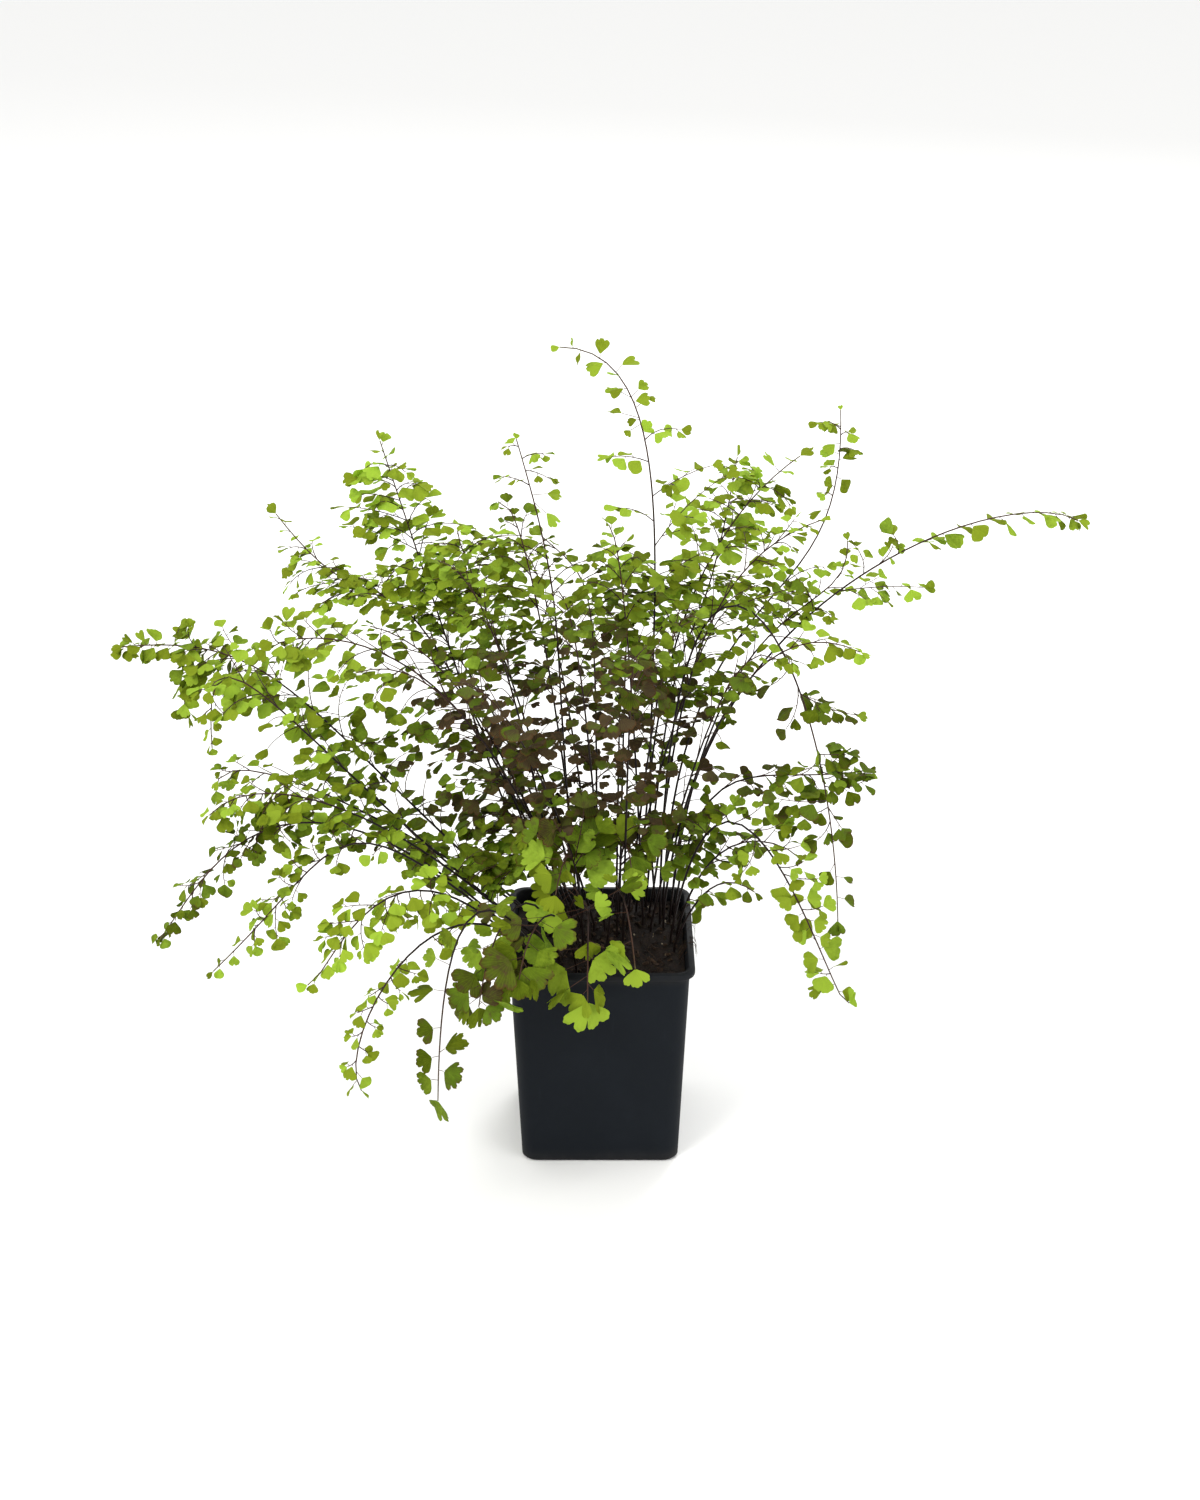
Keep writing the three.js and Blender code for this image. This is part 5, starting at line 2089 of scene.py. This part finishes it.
    def _twig(self, origin: Array, along: Array, length: float, size: float) -> None:
        """Grow a short second branch with three or four leaflets.

        Args:
            origin: Where it leaves its rib.
            along: Its direction.
            length: Its length.
            size: A factor on the size of its leaflets.
        """
        random = self.random
        end = origin + along * length
        route = np.stack([origin, origin + along * length * 0.5 + UP * 0.4, end])
        self.draft.add_tube(route, np.array(self.twig_radii), 4, 0, 0.35)
        out = unit(np.cross(self._facing(end, 0.2), along))
        for turn, share in self.TWIG:
            if share < 0.7 or length > self.twig_fork:
                lean = random.between(*self.twig_leans)
                way = unit(along * math.cos(lean) + out * turn * math.sin(lean))
                stalk = random.between(*self.twig_stalks)
                self._stalked(origin + along * length * share, way, stalk, size)
        self._leaflet(end, along, size * 0.9)

    def _stalked(self, origin: Array, along: Array, length: float, size: float) -> None:
        """Grow one leaflet on a hair-thin stalk, unless it would fill a clearing.

        Args:
            origin: Where the stalk starts.
            along: The stalk's direction.
            length: The stalk's length.
            size: A factor on the leaflet's size.
        """
        end = origin + along * length
        if any(gap.holds(end) for gap in self.CLEARINGS) and self.random() < self.thinned:
            return
        sag = unit(along - UP * self.random.between(0.0, 0.5))
        self.draft.add_tube(np.stack([origin, end]), np.full(2, self.stalk_radius), 3, 0, 0.3)
        self._leaflet(end, sag, size)

    def _facing(self, point: Array, jitter: float) -> Array:
        """Give the direction that a leaflet's upper face turns to.

        Args:
            point: Where the leaflet is.
            jitter: How far it may tilt at random.

        Returns:
            The direction, at length one.
        """
        random = self.random
        outward = unit(np.array([point[0], point[1], 0.0]) + 1e-6)
        tilt = np.array([random.between(-1, 1) for _ in range(3)])
        return unit(np.array(self.light) + self.outward * outward + jitter * tilt)

    def _leaflet(self, foot: Array, along: Array, factor: float) -> None:
        """Set one leaflet, of its frond's form or now and then of a broader one.

        Args:
            foot: Where its foot is.
            along: The direction that it points in.
            factor: A factor on the size of its form.
        """
        random, frond = self.random, self.frond
        form = self.form
        broad = self.broad_inside if frond.inner else self.broad_outside
        if form is LeafForm.FAN and random() < broad:
            form = LeafForm.BROAD
        size = self.SIZE[form] * factor * random.between(*self.leaflet_sizes)
        age = self._age_at(foot)
        spread = self.old_spread if age > self.old_from else self.young_spread
        age += random.between(-spread, spread)
        facing = unit(self._facing(foot, frond.tilt) + frond.level * np.array([0.0, 0.15, 0.85]))
        look = LeafLook(age, random(), frond.gloom)
        BOOK.place(self.draft, form, foot, along, facing, size, look, random)


@dataclass
class Fern:
    """The whole plant: every frond of the planting, grown and dressed."""

    planting: Planting
    stem: StemFinish = StemFinish("wiry_stem")
    # young is the brighter copy of the leaflet material, for the outer fronds; old is a darker copy with a
    # little more age, for the inner fronds, and paints the shade inside the dome.
    young: LeafFinish = LeafFinish(
        "outer_leaflet", (0.36, 0.49, 0.05), (0.15, 0.23, 0.018), (0.09, 0.06, 0.03)
    )
    old: LeafFinish = LeafFinish(
        "shaded_inner_leaflet", (0.3, 0.42, 0.042), (0.115, 0.175, 0.015), (0.088, 0.057, 0.034), 0.05
    )

    def build(self) -> list[Piece]:
        """Build every frond.

        Returns:
            The fronds in the order of their CAD nodes.
        """
        stem, young, old = self.stem.build(), self.young.build(), self.old.build()
        pieces = []
        for index, frond in enumerate(self.planting.fronds()):
            node = f"frond_{index + 1:02d}"
            builder = FrondBuilder(frond, 900 + index)
            # The inner fronds take the darker copy, which paints the shade inside the dome.
            pieces.append(builder.build(f"fern_{node}", node, [stem, old if frond.inner else young]))
        return pieces


# ---- camera, floor and light


@dataclass(frozen=True)
class SoftBox:
    """One large soft lamp, aimed at the plant."""

    name: str
    place: Triple
    size: float
    power: float
    colour: Colour = (1.0, 1.0, 1.0)

    def build(self, target: Vector) -> Piece:
        """Hang the lamp and aim it.

        Args:
            target: The point that it looks at.

        Returns:
            The lamp.
        """
        lamp = bpy.data.lights.new(self.name, "AREA")
        lamp.shape = "DISK"
        lamp.size = self.size
        lamp.energy = self.power
        lamp.color = self.colour
        holder = bpy.data.objects.new(self.name, lamp)
        holder.location = self.place
        holder.rotation_euler = (target - Vector(self.place)).to_track_quat("-Z", "Y").to_euler()
        bpy.context.scene.collection.objects.link(holder)
        return holder


@dataclass
class Studio:
    """The camera at the photograph's angle, a plain pale floor and soft light."""

    elevation: float = 24.5
    distance: float = 1.35
    target_height: float = 0.2493
    lens: float = 56.48
    sensor: float = 36.0
    floor_reach: float = 30.0
    floor_colour: Colour = (0.86, 0.86, 0.85)
    floor_roughness: float = 0.9
    floor_gloss: float = 0.1
    floor_gap: float = 0.0005
    lamp_target_height: float = 0.25
    sky: float = 1.05

    def build(self) -> None:
        """Set up the camera, the floor, the lamps and the sky."""
        self._camera()
        self._floor()
        target = Vector((0.0, 0.0, self.lamp_target_height))
        for lamp in (
            SoftBox("key_light", (-1.5, -1.7, 2.3), 1.3, 50.0, (1.0, 0.985, 0.96)),
            SoftBox("fill_light", (1.9, -1.5, 1.3), 1.6, 16.0),
            SoftBox("back_light", (0.7, 1.9, 1.9), 1.2, 34.0),
        ):
            lamp.build(target)
        world = bpy.data.worlds.new("studio_sky")
        world.use_nodes = True
        sky = world.node_tree.nodes["Background"]
        sky.inputs["Color"].default_value = (1.0, 1.0, 1.0, 1.0)
        sky.inputs["Strength"].default_value = self.sky
        bpy.context.scene.world = world
        bpy.context.scene.view_settings.view_transform = "Standard"

    def _camera(self) -> None:
        """Place the camera that takes the photograph's view."""
        camera = bpy.data.cameras.new("photo_camera")
        camera.lens = self.lens
        camera.sensor_width = self.sensor
        camera.sensor_fit = "AUTO"
        camera.clip_end = 100.0
        holder = bpy.data.objects.new("photo_camera", camera)
        tilt = math.radians(self.elevation)
        holder.location = (
            0.0,
            -self.distance * math.cos(tilt),
            self.target_height + self.distance * math.sin(tilt),
        )
        holder.rotation_euler = (math.pi / 2 - tilt, 0.0, 0.0)
        bpy.context.scene.collection.objects.link(holder)
        bpy.context.scene.camera = holder

    def _floor(self) -> None:
        """Lay the plain pale floor just under the pot."""
        reach = self.floor_reach
        mesh = bpy.data.meshes.new("studio_floor")
        corners = [(-reach, -reach, 0), (reach, -reach, 0), (reach, reach, 0), (-reach, reach, 0)]
        mesh.from_pydata(corners, [], [(0, 1, 2, 3)])
        material, _, skin = new_material("floor_paint", self.floor_gloss)
        skin.inputs["Base Color"].default_value = (*self.floor_colour, 1.0)
        skin.inputs["Roughness"].default_value = self.floor_roughness
        mesh.materials.append(material)
        floor = bpy.data.objects.new("studio_floor", mesh)
        floor.location.z = -self.floor_gap
        bpy.context.scene.collection.objects.link(floor)


def main() -> None:
    """Build the studio, the pot, the soil and the fern, and report each piece."""
    logging.basicConfig(level=logging.INFO, format="%(name)s: %(message)s")
    Studio().build()
    pot = NurseryPot()
    soil = Soil(pot)
    pieces = [pot.build(), *soil.build(), *Fern(Planting(soil)).build()]
    for piece in pieces:
        LOG.info("%s: %d faces", piece.name, len(piece.data.polygons))
    LOG.info("%d pieces, %d faces", len(pieces), sum(len(p.data.polygons) for p in pieces))


if __name__ == "__main__":
    main()
